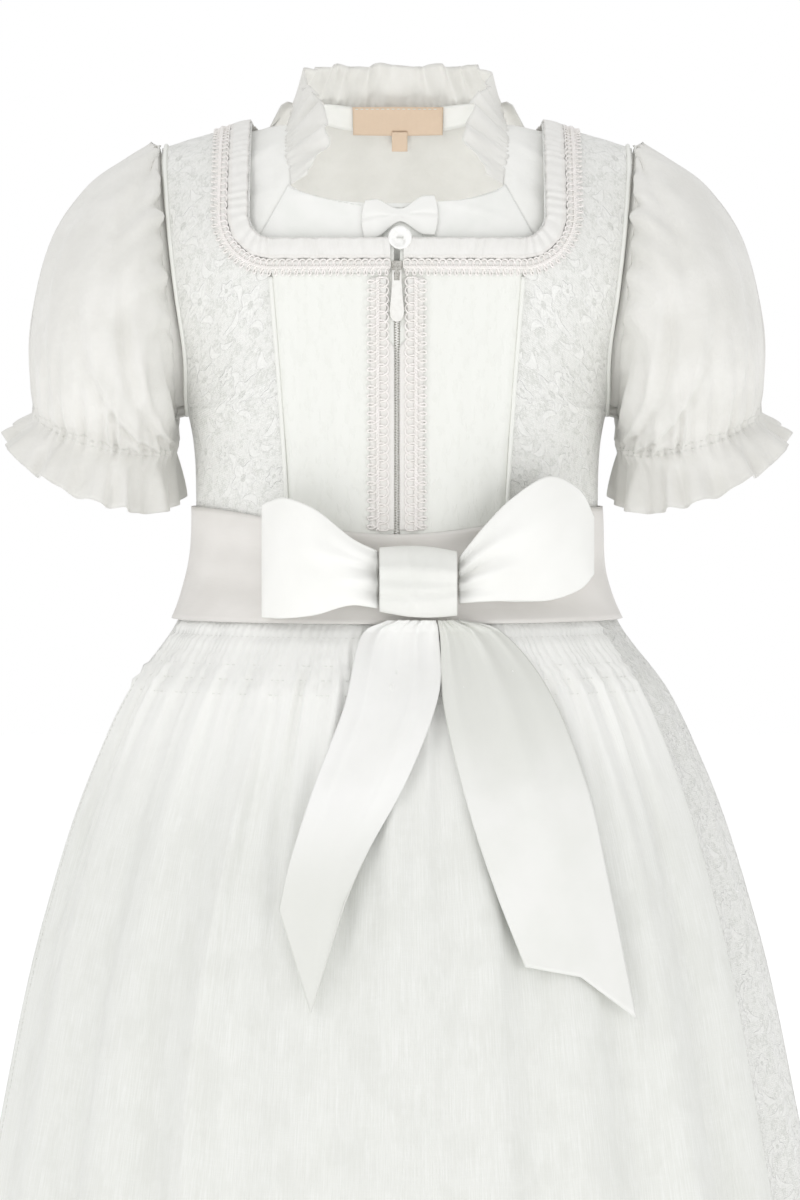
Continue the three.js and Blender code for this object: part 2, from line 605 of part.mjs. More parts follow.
// The band that finishes the back of the neck inside, with the label and size tag on it
const bandLift = BLOUSE_LIFT - 1 - WALL;
const bandStart = NECK_SHARE * BAND.reach;
const neckBand = (u, v, lift) => (
  neckPoint(mix(bandStart, 1 - bandStart, u), lift, mix(BAND.top, BAND.low, v)));
add('neck_band', cloth(steps(16), steps(1), neckBand, { low: bandLift, high: bandLift + WALL }),
  'satin');

// The row behind the neck where the surface falls to a height
function napeRow(x, z) {
  let [above, below] = [0.2, 0.9];
  for (let i = 0; i < 20; i += 1) {
    const row = (above + below) / 2;
    if (torsoTurn(turnAt(x, row), -row).z > z) above = row; else below = row;
  }
  return -above;
}

function backTag(tag, high) {
  const place = (u, v, lift) => {
    const x = tag.x + tag.wide * (u - 0.5);
    const row = napeRow(x, tag.z - tag.high * v);
    return torsoLift(turnAt(x, row), row, lift);
  };
  return cloth(steps(4), steps(2), place, { low: high - TAG_WALL, high });
}
const labelLift = bandLift - 2 * SEAM;
add('neck_label', backTag(LABEL, labelLift), 'label');
add('size_tag', backTag(SIZE_TAG, labelLift - TAG_WALL - 1.5 * SEAM), 'label');

// A point on the armhole's edge; round is 0 at the shoulder, PI below
function armholeEdge(round) {
  const z = mix(shoulderZ(ARMHOLE[0].x), UNDERARM_Z, (1 - cos(round)) / 2);
  const row = rowAt(armholeX(z), z);
  const turn = min(quarter, turnAt(armholeX(z), row));
  return { turn, row: sin(round) > 0 ? row : -row };
}

// The same moved into the bodice by an inset and off its surface by a lift
function armholePoint(round, inset, lift) {
  const at = (angle, more) => {
    const edge = armholeEdge(angle);
    return torsoLift(edge.turn, edge.row, more);
  };
  const along = at(round + EDGE_STEP, 0).sub(at(round - EDGE_STEP, 0));
  const out = at(round, 1).sub(at(round, 0));
  const across = along.cross(out).normalize();
  const away = at(round, 0).sub(vec(SHOULDER_X + ARCH, 0, UNDERARM_Z / 2));
  if (across.dot(away) < 0) across.negate();
  return at(round, lift).addScaledVector(across, inset);
}

// Sleeves, from the armhole through the gathered head to the elastic and its frill

function sleeveBase(u, at) {
  const round = 2 * PI * u;
  const s = SLEEVE[at];
  const middle = vec((s.topX + s.lowX) / 2, 0, (s.topZ + s.lowZ) / 2);
  const reach = vec((s.topX - s.lowX) / 2, 0, (s.topZ - s.lowZ) / 2);
  const long = reach.length();
  const out = reach.clone().multiplyScalar(cos(round) / long / long)
    .add(vec(0, -sin(round) / s.depth, 0)).normalize();
  const drift = SLEEVE_DRIFT.share * sin(SLEEVE_DRIFT.waves * round + at * SLEEVE_DRIFT.turn);
  const wave = s.fold * (cos(SLEEVE_WAVES * round) + drift);
  const free = middle.addScaledVector(reach, cos(round))
    .add(vec(0, -s.depth * sin(round), -s.dip * sin(round)))
    .addScaledVector(out, wave);
  const low = (1 - cos(round)) / 2;
  const gap = mix(SLEEVE_GAP, UNDERARM_GAP, low ** 4);
  const stand = s.stand * mix(HEAD_STAND.top, HEAD_STAND.low, low);
  return free.lerp(armholePoint(round, -WALL - gap, stand), s.seat);
}

function sleevePoint(hand, u, at, lift) {
  const along = sleeveBase(u + 0.008, at).sub(sleeveBase(u - 0.008, at));
  const down = sleeveBase(u, min(SLEEVE.length - 1, at + 1)).sub(sleeveBase(u, max(0, at - 1)));
  const point = sleeveBase(u, at).addScaledVector(along.cross(down).normalize(), lift);
  return vec(hand * point.x, point.y, point.z);
}

for (const { name, hand } of SIDES) {
  const place = (u, row, lift) => sleevePoint(hand, u, row, lift);
  const rows = SLEEVE.map((_, i) => i);
  add(`sleeve_${name}`, cloth(steps(SLEEVE_STEPS), rows, place, { ring: true }), 'batiste');
}

// Skirt, gathered into the waist in two halves

const SKIRT_ROWS = SKIRT.slice(1).map((row) => row.z);
const turns = (from, to) => Array.from({ length: (to - from) / SKIRT_STEP + 1.5 | 0 },
  (_, i) => from + i * SKIRT_STEP);

function skirtHalf(middle) {
  const columns = turns(middle - quarter, middle + quarter);
  const pull = (turn) => {
    const end = abs(turn - middle) > quarter - 0.001;
    return end ? turn - sign(turn - middle) * SEAM / 2 / SKIRT[1].front : turn;
  };
  const place = (turn, z, lift) => skirtLift(pull(turn), z, lift);
  return cloth(columns, SKIRT_ROWS, place);
}
add('skirt_front', skirtHalf(0), 'brocade');
add('skirt_back', skirtHalf(PI), 'brocade');

// Apron, shirred on rows of stitching under the sash

const channelEdges = steps(SHIRR_ROWS).map((t) => SHIRR_TOP - t * SHIRR_ROWS * SHIRR_PITCH);
const apronRows = [APRON_TOP, ...channelEdges.flatMap((z, i) => (
  i < SHIRR_ROWS ? [z, z - SHIRR_PITCH / 2] : [z])), -340, -420, -530, APRON_HEM_Z];
const puff = (turn, z) => {
  const share = (SHIRR_TOP - z) / SHIRR_PITCH;
  const inside = share > 0 && share < SHIRR_ROWS && share % 1 > 0.3;
  const column = Math.round(turn / SKIRT_STEP);
  return inside ? SHIRR_RISE * (0.6 + 0.4 * (column % 2)) : 0;
};
const apronWall = { low: APRON_LIFT, high: APRON_LIFT + WALL, raise: puff };
const apronTurns = turns(-APRON_LEFT * SKIRT_STEP, APRON_RIGHT * SKIRT_STEP);
add('apron', cloth(apronTurns, apronRows, skirtLift, apronWall), 'slub');

// Sash

function sashPoint(u, v, lift) {
  const turn = 2 * PI * u;
  const front = max(0, cos(turn)) ** 4;
  const z = mix(SASH_TOP - SASH_DIP * front, SASH_LOW, v);
  const out = mix(SASH_LIFT.top, SASH_LIFT.low, v) + lift;
  const half = readRound(SKIRT, 'z', z, 'half') + out;
  const deep = readRound(SKIRT, 'z', z, cos(turn) < 0 ? 'back' : 'front') + out;
  return vec(half * sin(turn), -deep * cos(turn), z);
}
add('sash', cloth(steps(40), steps(2), sashPoint, { ring: true }), 'satin');

// Bow

// A ribbon along a table of stations, each with its place in plan and its two edges
function ribbon(table, across, thick) {
  const base = (u, i) => {
    const s = table[i];
    const belly = s.bulge * sin(PI * u);
    return vec(s.x, s.y - belly, mix(s.top, s.low, u));
  };
  const place = (u, i, lift) => {
    const [a, b] = [table[max(0, i - 1)], table[min(table.length - 1, i + 1)]];
    const out = vec(b.y - a.y, a.x - b.x, 0).normalize();
    return base(u, i).addScaledVector(out, lift);
  };
  return cloth(steps(across), table.map((_, i) => i), place, { low: 0, high: thick });
}
add('bow_loop_left', ribbon(LOOP_LEFT, 5, WALL), 'satin');
add('bow_loop_right', ribbon(LOOP_RIGHT, 5, WALL), 'satin');

// The knot is a band of ribbon wrapped round the loops' roots
function knotPoint(u, v, lift) {
  const round = 2 * PI * u;
  const x = mix(KNOT_LEFT, KNOT_RIGHT, v);
  const swell = 1 + KNOT_SWELL * sin(PI * v);
  const high = (KNOT_HIGH * swell - WALL + lift) * cos(round);
  const deep = (KNOT_DEEP * swell - WALL + lift) * sin(round);
  return vec(x, KNOT_Y - deep, KNOT_Z + high - KNOT_SLANT * v);
}
add('bow_knot', cloth(steps(16), steps(3), knotPoint, { ring: true, high: KNOT_WALL }), 'satin');

// A tail hangs from the knot and lies on the apron
function tail(table) {
  const place = (u, i, lift) => {
    const s = table[i];
    const x = mix(s.leftX, s.rightX, u);
    const z = mix(s.leftZ, s.rightZ, u) - s.point * (1 - abs(2 * u - 1));
    const level = min(z, SASH_LOW - TAIL_DROP);
    const half = readRound(SKIRT, 'z', level, 'half');
    const deep = readRound(SKIRT, 'z', level, 'front');
    const rest = read(SKIRT, 'z', level, 'fold') + APRON_LIFT + WALL + SHIRR_RISE
      + TAIL_REST;
    return vec(x, -(deep + rest + s.proud + lift) * sqrt(1 - (x / half) ** 2), z);
  };
  return cloth(steps(5), table.map((_, i) => i), place, { low: 0, high: WALL });
}
add('bow_tail_left', tail(TAIL_LEFT), 'satin');
add('bow_tail_right', tail(TAIL_RIGHT), 'satin');

// Neckline trims: a ruched ribbon next to the edge and a looped gimp braid outside it

// A point of the neckline moved out from the opening, from the centre front to the centre back
function trimPoint(hand, t, out, lift) {
  const lowZ = NECK_Z - out;
  const sideX = NECK_X + out;
  const cornerTop = rowAt(sideX, NECK_Z + NECK_CORNER);
  if (t < TRIM.front) {
    const x = mix(TRIM_START, NECK_X - NECK_CORNER, t / TRIM.front);
    return torsoAt(hand * x, lowZ, 1, lift);
  }
  if (t < TRIM.corner) {
    const bend = quarter * (t - TRIM.front) / (TRIM.corner - TRIM.front);
    const radius = NECK_CORNER + out;
    const x = NECK_X - NECK_CORNER + radius * sin(bend);
    return torsoAt(hand * x, NECK_Z + NECK_CORNER - radius * cos(bend), 1, lift);
  }
  if (t < TRIM.shoulder) {
    const row = mix(cornerTop, 0, (t - TRIM.corner) / (TRIM.shoulder - TRIM.corner));
    return torsoLift(hand * turnAt(sideX, row), row, lift);
  }
  const bend = quarter * (t - TRIM.shoulder) / (1 - TRIM.shoulder);
  const x = sideX * max(0.003, cos(bend)) ** (2 / NECK_ARC) + SEAM / 2;
  const row = -(BACK_NECK_ROW + out / ROW_LENGTH) * max(0.0005, sin(bend)) ** (2 / NECK_ARC);
  return torsoLift(hand * turnAt(x, row), row, lift);
}

for (const { name, hand } of SIDES) {
  const strip = (trim) => {
    const odd = (t) => Math.round(t * TRIM_STEPS) % 2;
    const place = (t, v, lift) => (
      trimPoint(hand, t, v ? trim.outer + trim.loop * (1 - odd(t)) : trim.inner, lift));
    const raise = (t) => (trim.loop ? trim.rise : trim.rise * odd(t));
    const settings = { low: TRIM_LIFT, high: TRIM_LIFT + TRIM_WALL, raise };
    return cloth(steps(TRIM_STEPS), [0, 1], place, settings);
  };
  add(`neck_ruche_${name}`, strip(RUCHE), 'lace');
  add(`neck_gimp_${name}`, strip(GIMP), 'lace');

  const zipBraid = (u, v, lift) => {
    const row = Math.round(v * ZIP_SCALLOPS * 2);
    const x = u ? ZIP_BRAID.outer + ZIP_BRAID.loop * (row % 2) : ZIP_BRAID.inner;
    return torsoAt(hand * x, mix(ZIP_BRAID.top, ZIP_END, v), 1, lift);
  };
  const braidWall = { low: TRIM_LIFT, high: TRIM_LIFT + ZIP_BRAID.thick };
  add(`zip_braid_${name}`, cloth([0, 1], steps(ZIP_SCALLOPS * 2), zipBraid, braidWall), 'lace');

  const seamPoints = steps(6).map((t) => {
    const z = mix(PIPING_TOP, PIPING_END, t);
    return torsoAt(hand * princessX(z), z, 1, PIPING_LIFT);
  });
  add(`princess_piping_${name}`, cord(seamPoints, PIPING), 'satin');

  const holePoints = steps(33).map((t) => {
    const round = 2 * PI * mix(0.5 + PIPING_GAP, 1.5 - PIPING_GAP, t);
    const point = armholePoint(round, PIPING_INSET, PIPING_LIFT);
    return vec(hand * point.x, point.y, point.z);
  });
  add(`armhole_piping_${name}`, cord(holePoints, PIPING), 'satin');
}

// Zip: closed chain on its tapes, behind the slit of the front

function zipChain(u, v, lift) {
  const edges = [TAPE.half, TEETH_HALF, TEETH_HALF - 0.01];
  const column = Math.round(u * 5);
  const x = column < 3 ? -edges[column] : edges[5 - column];
  return torsoAt(x, mix(ZIP_TOP, TAPE.end, v), 1, lift);
}
const teeth = (u) => (u > 0.3 && u < 0.7 ? TEETH_RISE : 0);
const tapeWall = { low: TAPE.low, high: TAPE.high, raise: teeth };
add('zip_chain', cloth(steps(5), steps(6), zipChain, tapeWall), 'lace');

// An outline in x and z, given a thickness towards the front
function plate(outline, thick, bevel = 0.25) {
  const settings = { depth: thick - 2 * bevel, bevelEnabled: true, bevelThickness: bevel,
    bevelSize: bevel, bevelOffset: -bevel, bevelSegments: 1, curveSegments: 4 };
  const geometry = new THREE.ExtrudeGeometry(outline, settings);
  return geometry.translate(0, 0, bevel).rotateX(quarter);
}

function outline(corners, Kind = THREE.Shape) {
  return new Kind(corners.map(([a, b]) => new THREE.Vector2(a, b)));
}

// The slider's plate narrows from its shoulders to its throat
const sliderPlate = plate(outline([
  [-SLIDER.top / 2, SLIDER.long / 2], [-SLIDER.low / 2, -SLIDER.long / 2],
  [SLIDER.low / 2, -SLIDER.long / 2], [SLIDER.top / 2, SLIDER.long / 2],
]), SLIDER.thick);

// Its bridge is an arch that the pull tab's crossbar passes under
const archOut = BRIDGE.long / 2;
const archIn = archOut - BRIDGE.wire;
const arch = outline([[archOut, -BRIDGE.foot], [archOut, BRIDGE.high], [-archOut, BRIDGE.high],
  [-archOut, -BRIDGE.foot], [-archIn, -BRIDGE.foot], [-archIn, BRIDGE.high - BRIDGE.wire],
  [archIn, BRIDGE.high - BRIDGE.wire], [archIn, -BRIDGE.foot]]);
const bridge = new THREE.ExtrudeGeometry(arch, { depth: BRIDGE.wide, bevelEnabled: false });
bridge.translate(0, SLIDER.thick, -BRIDGE.wide / 2);
bridge.applyMatrix4(new THREE.Matrix4().makeBasis(vec(0, 0, 1), vec(0, -1, 0), vec(1, 0, 0)));

const sliderMid = torsoAt(0, (ZIP_TOP + SLIDER_LOW) / 2, 1, SLIDER_LIFT);
add('zip_slider', joined(sliderPlate, bridge), 'steel', vec(0, sliderMid.y, sliderMid.z));

// The pull tab is a drop with a window at its top, whose crossbar is the hinge
const tabShape = outline([
  [-TAB.neck, TAB.bar], [-TAB.neck, -TAB.window - 1], [-TAB.wide * 0.8, -TAB.long * 0.5],
  [-TAB.wide, -TAB.long * 0.76], [-TAB.wide * 0.9, -TAB.long * 0.9],
  [-TAB.wide * 0.5, -TAB.long * 0.98], [0, -TAB.long], [TAB.wide * 0.5, -TAB.long * 0.98],
  [TAB.wide * 0.9, -TAB.long * 0.9], [TAB.wide, -TAB.long * 0.76],
  [TAB.wide * 0.8, -TAB.long * 0.5], [TAB.neck, -TAB.window - 1], [TAB.neck, TAB.bar]]);
tabShape.holes.push(outline([[-TAB.slot, -TAB.bar], [TAB.slot, -TAB.bar],
  [TAB.slot, -TAB.window], [-TAB.slot, -TAB.window]], THREE.Path));
const tabGeometry = plate(tabShape, 2 * TAB.bar, 0.2).translate(0, TAB.bar, 0);
const hingeY = sliderMid.y - SLIDER.thick - TAB.rise;
add('zip_pull', tabGeometry, 'enamel', vec(0, hingeY, sliderMid.z));

// Button of the blouse's placket, with a rim and two holes
const button = new THREE.Shape();
button.absarc(0, 0, BUTTON.radius, 0, 2 * PI, false);
for (const x of [-BUTTON.apart, BUTTON.apart]) {
  const hole = new THREE.Path();
  hole.absarc(x, 0, BUTTON.hole, 0, 2 * PI, true);
  button.holes.push(hole);
}
const buttonFoot = torsoAt(BUTTON.x, BUTTON.z, 1, TRIM_LIFT + 2);
add('button', plate(button, BUTTON.thick, BUTTON.bevel), 'enamel', buttonFoot);

// Small ribbon bow on the blouse's placket
function smallBow(u, v, lift) {
  const edge = 2 * u - 1;
  const open = abs(edge);
  const high = mix(SMALL_BOW.knot, SMALL_BOW.wing, smooth(open * 1.3));
  const z = SMALL_BOW.z + high * (1 - 2 * v) + open * SMALL_BOW.droop;
  const puffed = SMALL_BOW.puff * sin(PI * open) * sin(PI * v);
  return torsoAt(SMALL_BOW.x + SMALL_BOW.half * edge, z, 1, lift + puffed);
}
const smallFoot = BLOUSE_LIFT + WALL + SMALL_BOW.rest;
const smallWall = { low: smallFoot, high: smallFoot + SMALL_BOW.thick };
add('small_bow', cloth(steps(8), steps(2), smallBow, smallWall), 'satin');

export default dirndl;
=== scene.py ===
import math
from functools import partial

import bmesh
import bpy
import numpy as np
from mathutils import Matrix, Vector
from numpy import cos, sin


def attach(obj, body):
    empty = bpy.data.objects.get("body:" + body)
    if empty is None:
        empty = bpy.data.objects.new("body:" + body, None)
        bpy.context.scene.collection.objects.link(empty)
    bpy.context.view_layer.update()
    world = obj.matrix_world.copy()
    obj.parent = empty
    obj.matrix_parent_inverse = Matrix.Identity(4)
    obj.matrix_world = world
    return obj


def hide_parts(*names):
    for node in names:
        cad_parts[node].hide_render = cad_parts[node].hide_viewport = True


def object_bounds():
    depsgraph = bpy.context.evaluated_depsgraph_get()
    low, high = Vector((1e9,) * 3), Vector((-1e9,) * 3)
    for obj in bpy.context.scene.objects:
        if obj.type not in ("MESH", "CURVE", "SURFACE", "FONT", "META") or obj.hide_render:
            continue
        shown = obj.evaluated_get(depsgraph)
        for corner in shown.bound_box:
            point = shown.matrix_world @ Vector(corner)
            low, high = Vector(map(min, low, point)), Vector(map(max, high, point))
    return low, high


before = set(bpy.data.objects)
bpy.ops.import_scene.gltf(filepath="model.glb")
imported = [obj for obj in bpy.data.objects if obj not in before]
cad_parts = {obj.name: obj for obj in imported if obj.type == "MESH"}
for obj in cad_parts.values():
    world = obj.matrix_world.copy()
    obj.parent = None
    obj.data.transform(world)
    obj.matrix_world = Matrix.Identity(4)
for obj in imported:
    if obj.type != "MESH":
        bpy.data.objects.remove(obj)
CAD_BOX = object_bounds()

# Sizes are in millimetres until a mesh is written. The front faces -Y.
MM = 0.001
QUARTER = math.pi / 2
TURN = 2 * math.pi
PER_METRE = 1000

WALL = 1.3
SEAM = 0.35
ARCH = 80
NECK_RISE = 9
SHOULDER_FALL = 24
SHOULDER_X = 123
WAIST_Z = -240
HEM_Z = -667
APRON_HEM_Z = -642
UNDERARM_Z = -155
NECK_X = 76
NECK_Z = -63
NECK_CORNER = 12
BLOUSE_NECK_X = 58
BLOUSE_LIFT = -4.6
ZIP_TOP = -75
ZIP_END = -214
GAP_HALF = 1.5

TORSO = {
    "row": (0, 0.5, 1, 1.25, 1.5, 1.75, 2),
    "half": (140, 140, 133, 117, 107, 105, 106),
    "front": (84, 84, 86, 86, 84, 80, 78),
    "back": (80, 82, 84, 84, 82, 79, 77),
}
SKIRT = {
    "z": (-200, -240, -264, -300, -340, -420, -530, -667),
    "half": (105.3, 106, 113.5, 139, 158, 184, 207, 231),
    "front": (79.5, 78, 84, 106, 124, 150, 176, 198),
    "back": (79, 77, 84, 108, 128, 156, 184, 207),
    "fold": (0, 0.3, 1, 3, 4.2, 5.8, 7.4, 9),
}
ARMHOLE = {
    "z": (0, -15, -43, -91, -128, -143, -151, -158),
    "x": (123.5, 123.5, 121, 115.5, 110.5, 110.2, 109.7, 109.7),
}
PRINCESS = {"z": (-62, -84, -140, -196, -240), "x": (66, 64.5, 60, 56.5, 55)}
BACK_SEAM = {"z": (-98, -110, -125, -150, -190, -240), "x": (113.5, 100, 84, 65, 48, 40)}
BLOUSE_SEAM = {"z": (3, -32, -63, -90, -180), "x": (58, 57, 74, 80, 80)}
SLEEVE = {
    "row": (0, 1, 2, 3, 4, 5, 6, 7, 8, 9, 10),
    "seat": (1, 1, 0.45, 0.1, 0, 0, 0, 0, 0, 0, 0),
    "stand": (0, 4.4, 5, 5, 0, 0, 0, 0, 0, 0, 0),
    "topX": (124, 124, 130, 144, 163, 182, 192, 191.5, 190, 197, 206),
    "topZ": (-15, -15, -16, -23, -37, -66, -108, -140, -152, -161, -169),
    "lowX": (107, 107, 121, 118.5, 116.5, 117, 117.5, 118, 118.5, 119, 117),
    "lowZ": (-153, -153, -153, -157, -160, -162.5, -165.5, -168.5, -171.5, -180, -201),
    "depth": (41, 41, 58, 62, 65, 66, 60, 46, 37, 40.5, 47),
    "dip": (0, 0, 0, 0, 1, 3, 6, 8, 9, 11, 14),
}
ELASTIC_ROW = 8
NECK_ARC = 2.4
BACK_NECK_ROW = 0.56
NAPE_RISE, NAPE_X, NAPE_ROW = 17, 68, 0.53
BLOUSE_BACK_ROW = 0.36
BLOUSE_ARC = 2.2
BLOUSE_CORNER_Z = -33
BLOUSE_DIP_Z = -44
BLOUSE_LOW_ROW = 1.55
NECK_SHARE = 0.24
RUFFLE = 25
RUFFLE_WAVES = 22
LABEL_X, LABEL_Z, LABEL_WIDE, LABEL_HIGH = 0.5, 15, 51, 16.4
TAG_X, TAG_Z, TAG_WIDE, TAG_HIGH = 1.5, 1, 9, 10
SLEEVE_GAP = 1.3
UNDERARM_GAP = 3
EDGE_STEP = 0.03
SKIRT_WAVES = 24
SKIRT_STEP = math.pi / 48
APRON_TOP = -248
APRON_LEFT = 20
APRON_RIGHT = 17
APRON_LIFT = 2.1
SHIRR_TOP = -264
SHIRR_LOW = -300
SHIRR_STEP = 7.2
SASH_TOP = -203
SASH_LOW = -262
SASH_DIP = 13
ROW_LENGTH = ARCH * QUARTER
TRIM_LIFT = WALL + 0.5
TRIM_START = 3.4
TRIM_FRONT, TRIM_CORNER, TRIM_SHOULDER = 0.24, 0.32, 0.62
# Panels start just below the shoulder seam and end just above the waist
TOP_ROW, WAIST_ROW = 0.004, 1.998

LOOP_LEFT = {
    "x": (-9.4, -24, -42, -58, -67, -70.5, -67, -56, -40, -24, -9.4),
    "y": (-97.5, -101, -99, -92, -85, -80, -76.5, -82, -87, -90, -92.5),
    "top": (-224.2, -217, -203, -197, -199, -201, -200, -200, -208, -220, -225.4),
    "low": (-253.4, -252, -257, -259, -259, -259, -259, -257, -253, -249, -252.6),
    "bulge": (0, 2, 4, 4, 3, 0, 0, 0, 0, 0, 0),
}
LOOP_RIGHT = {
    "x": (31.8, 46, 62, 79, 94, 102, 102.5, 95, 79, 60, 45, 31.8),
    "y": (-90, -84.5, -77, -67, -56, -55, -61, -71, -84, -93, -97, -96),
    "top": (-233, -220, -206, -195, -196, -205, -206, -193, -186, -197, -212, -228),
    "low": (-249, -250, -251, -250, -243, -238, -238, -245, -250, -250, -250, -251),
    "bulge": (0, 0, 0, 0, 0, 0, 0, 3, 4, 4, 2, 0),
}
TAIL_LEFT = {
    "leftX": (-5, -19, -27, -42, -54, -60),
    "leftZ": (-260, -269, -303, -342, -379, -404),
    "rightX": (20, 21.5, 21.5, 6, -14, -27),
    "rightZ": (-260, -267, -297, -338, -374, -401),
    "point": (0, 0, 0, 0, 0, 53),
    "proud": (2, 1, 1, 0, 0, 0),
}
TAIL_RIGHT = {
    "leftX": (21, 22.4, 24, 36, 50, 65),
    "leftZ": (-260, -271, -304, -353, -395, -433),
    "rightX": (34, 55, 79, 98, 108, 122),
    "rightZ": (-260, -267, -297, -345, -390, -461),
    "point": (0, 0, 0, 0, 0, -8),
    "proud": (2, 1, 1, 0, 0, 0),
}


def mix(a, b, t):
    return a + (b - a) * t


def smooth(t):
    t = np.clip(t, 0, 1)
    return t * t * (3 - 2 * t)


def bump(at, middle, width):
    """A soft hill of height 1 at the middle, and of about that width."""
    return np.exp(-((at - middle) / width) ** 2)


def columns(table, key, column):
    """Two columns of a table, turned so that the key's goes up."""
    xs, ys = np.array(table[key], float), np.array(table[column], float)
    return (xs[::-1], ys[::-1]) if xs[0] > xs[-1] else (xs, ys)


def curve(table, key, at, column):
    """Reads a column of a table at a key, along a smooth line through its rows."""
    xs, ys = columns(table, key, column)
    slopes = np.gradient(ys, xs)
    at = np.clip(np.asarray(at, float), xs[0], xs[-1])
    i = np.clip(np.searchsorted(xs, at, "right") - 1, 0, len(xs) - 2)
    wide = xs[i + 1] - xs[i]
    t = (at - xs[i]) / wide
    keep = 2 * t**3 - 3 * t**2 + 1
    out = t**3 - 2 * t**2 + t
    come = t**3 - t**2
    return keep * ys[i] + (1 - keep) * ys[i + 1] + wide * (out * slopes[i] + come * slopes[i + 1])


def straight(table, key, at, column):
    return np.interp(at, *columns(table, key, column))


def by_row(table):
    """A reader of a table's columns by row number, and the last row's number."""
    last = len(next(iter(table.values()))) - 1
    rows = dict(table, at=range(last + 1))
    return lambda at, column: curve(rows, "at", at, column), last


def together(*values):
    return np.broadcast_arrays(*(np.asarray(value, float) for value in values))


def unit(vectors):
    return vectors / np.maximum(np.linalg.norm(vectors, axis=-1, keepdims=True), 1e-9)


def stack(x, y, z):
    return np.stack(together(x, y, z), -1)


def scaled(lift):
    return np.asarray(lift, float)[..., None]


def outward(along, down, away):
    """The unit normal of two directions, on the side that faces away."""
    out = unit(np.cross(along, down))
    return np.where(scaled((out * away).sum(-1) < 0), -out, out)


# The body's surface

def shoulder_z(x):
    return NECK_RISE - SHOULDER_FALL * (abs(x) / SHOULDER_X) ** 1.7


def nape(x, row):
    """What the blouse rises behind the neck, inside the bodice's neckline."""
    share = np.clip(abs(x) / NAPE_X, 0, 0.9999) ** NECK_ARC
    reach = NAPE_ROW * (1 - share) ** (1 / NECK_ARC)
    rise = NAPE_RISE * smooth((1 + row / reach) / 0.45) * smooth(-row / 0.2)
    return np.where((row >= 0) | (abs(x) >= NAPE_X), 0, rise)


def torso(turn, row):
    """Row 0 is the shoulder line and rows 1 to 2 run to the waist, negative behind."""
    turn, row = together(turn, row)
    r = abs(row)
    half = curve(TORSO, "row", r, "half")
    deep = np.where(row >= 0, curve(TORSO, "row", r, "front"), curve(TORSO, "row", r, "back"))
    x = half * sin(turn)
    bow = np.where(r < 1, sin(QUARTER * r), 1)
    chest = shoulder_z(x) + nape(x, row) - ARCH
    arch = chest + ARCH * cos(QUARTER * np.minimum(r, 1))
    z = np.where(r < 1, arch, mix(chest, WAIST_Z, r - 1))
    return stack(x, -np.sign(row) * deep * bow * cos(turn), z)


def row_at(x, z):
    fall = shoulder_z(x) - z
    arch = np.arccos(1 - np.clip(fall / ARCH, 0, 1)) / QUARTER
    return np.where(fall < ARCH, arch, 1 + (fall - ARCH) / (shoulder_z(x) - ARCH - WAIST_Z))


def turn_at(x, row):
    return np.arcsin(np.clip(x / curve(TORSO, "row", abs(row), "half"), -1, 1))


def torso_lift(turn, row, lift):
    """A point of the body's surface, moved off it by a lift."""
    turn, row = together(turn, row)
    d = 0.004
    point = torso(turn, row)
    out = outward(torso(turn + d, row) - torso(turn - d, row),
                  torso(turn, row + d) - torso(turn, row - d), point * (1, 1.5, 1) + (0, 0, 110))
    return point + out * scaled(lift)


def torso_at(x, z, lift):
    """The same for a place on the front that is given by its x and height."""
    row = row_at(x, z)
    return torso_lift(turn_at(x, row), row, lift)


def turn_on(line, row):
    """The turn on a row of a line that is given as x at each height."""
    row = np.asarray(row, float)
    x = line(torso(0, row)[..., 2])
    for _ in range(4):
        x = line(torso(turn_at(x, row), row)[..., 2])
    return turn_at(x, row)


def armhole_x(z):
    return curve(ARMHOLE, "z", z, "x")


def princess_x(z):
    return curve(PRINCESS, "z", z, "x")


def back_seam_x(z):
    return np.where(z > BACK_SEAM["z"][0], armhole_x(z), straight(BACK_SEAM, "z", z, "x"))


def blouse_seam_x(z):
    return straight(BLOUSE_SEAM, "z", z, "x")


def outer_turn(row):
    seam = QUARTER - SEAM / 2 / TORSO["front"][0]
    low = torso(QUARTER, row)[..., 2] < UNDERARM_Z
    return np.where(low, seam, np.minimum(seam, turn_on(armhole_x, row)))


def front_inner(z):
    seam = princess_x(z) + SEAM / 2
    drop = np.clip((NECK_Z + NECK_CORNER - z) / NECK_CORNER, 0, 1)
    corner = np.maximum(seam, NECK_X - NECK_CORNER * (1 - np.sqrt(1 - drop * drop)))
    return np.where(z <= NECK_Z, seam, np.where(z > NECK_Z + NECK_CORNER, NECK_X, corner))


def back_neck_row(x):
    share = np.clip(abs(x) / NECK_X, 0, 1) ** NECK_ARC
    return BACK_NECK_ROW * (1 - share) ** (1 / NECK_ARC)


# The skirt's surface

def skirt_fold(turn):
    return (0.6 * cos(SKIRT_WAVES * turn + 0.5 * sin(3 * turn)) + 0.25 * sin(5 * turn + 1)
            + 0.15 * sin(9 * turn))


def gathers(turn, z, count, top, low):
    """Small unequal gathers that fade from the top height to the low one."""
    fade = smooth((z - low) / (top - low))
    wander = 0.8 * sin(7 * turn + 1.3) + 0.5 * sin(17 * turn + 0.4)
    uneven = 0.65 + 0.35 * sin(11 * turn + 2) * sin(5 * turn)
    return fade * uneven * cos(count * turn + wander)


def skirt_size(z, column):
    return curve(SKIRT, "z", z, column)


def skirt_depth(turn, z):
    return np.where(cos(turn) < 0, skirt_size(z, "back"), skirt_size(z, "front"))


def skirt(turn, z):
    turn, z = together(turn, z)
    half, deep = skirt_size(z, "half"), skirt_depth(turn, z)
    grow = 1 + skirt_size(z, "fold") * skirt_fold(turn) / half
    return stack(half * sin(turn) * grow, -deep * cos(turn) * grow, z)


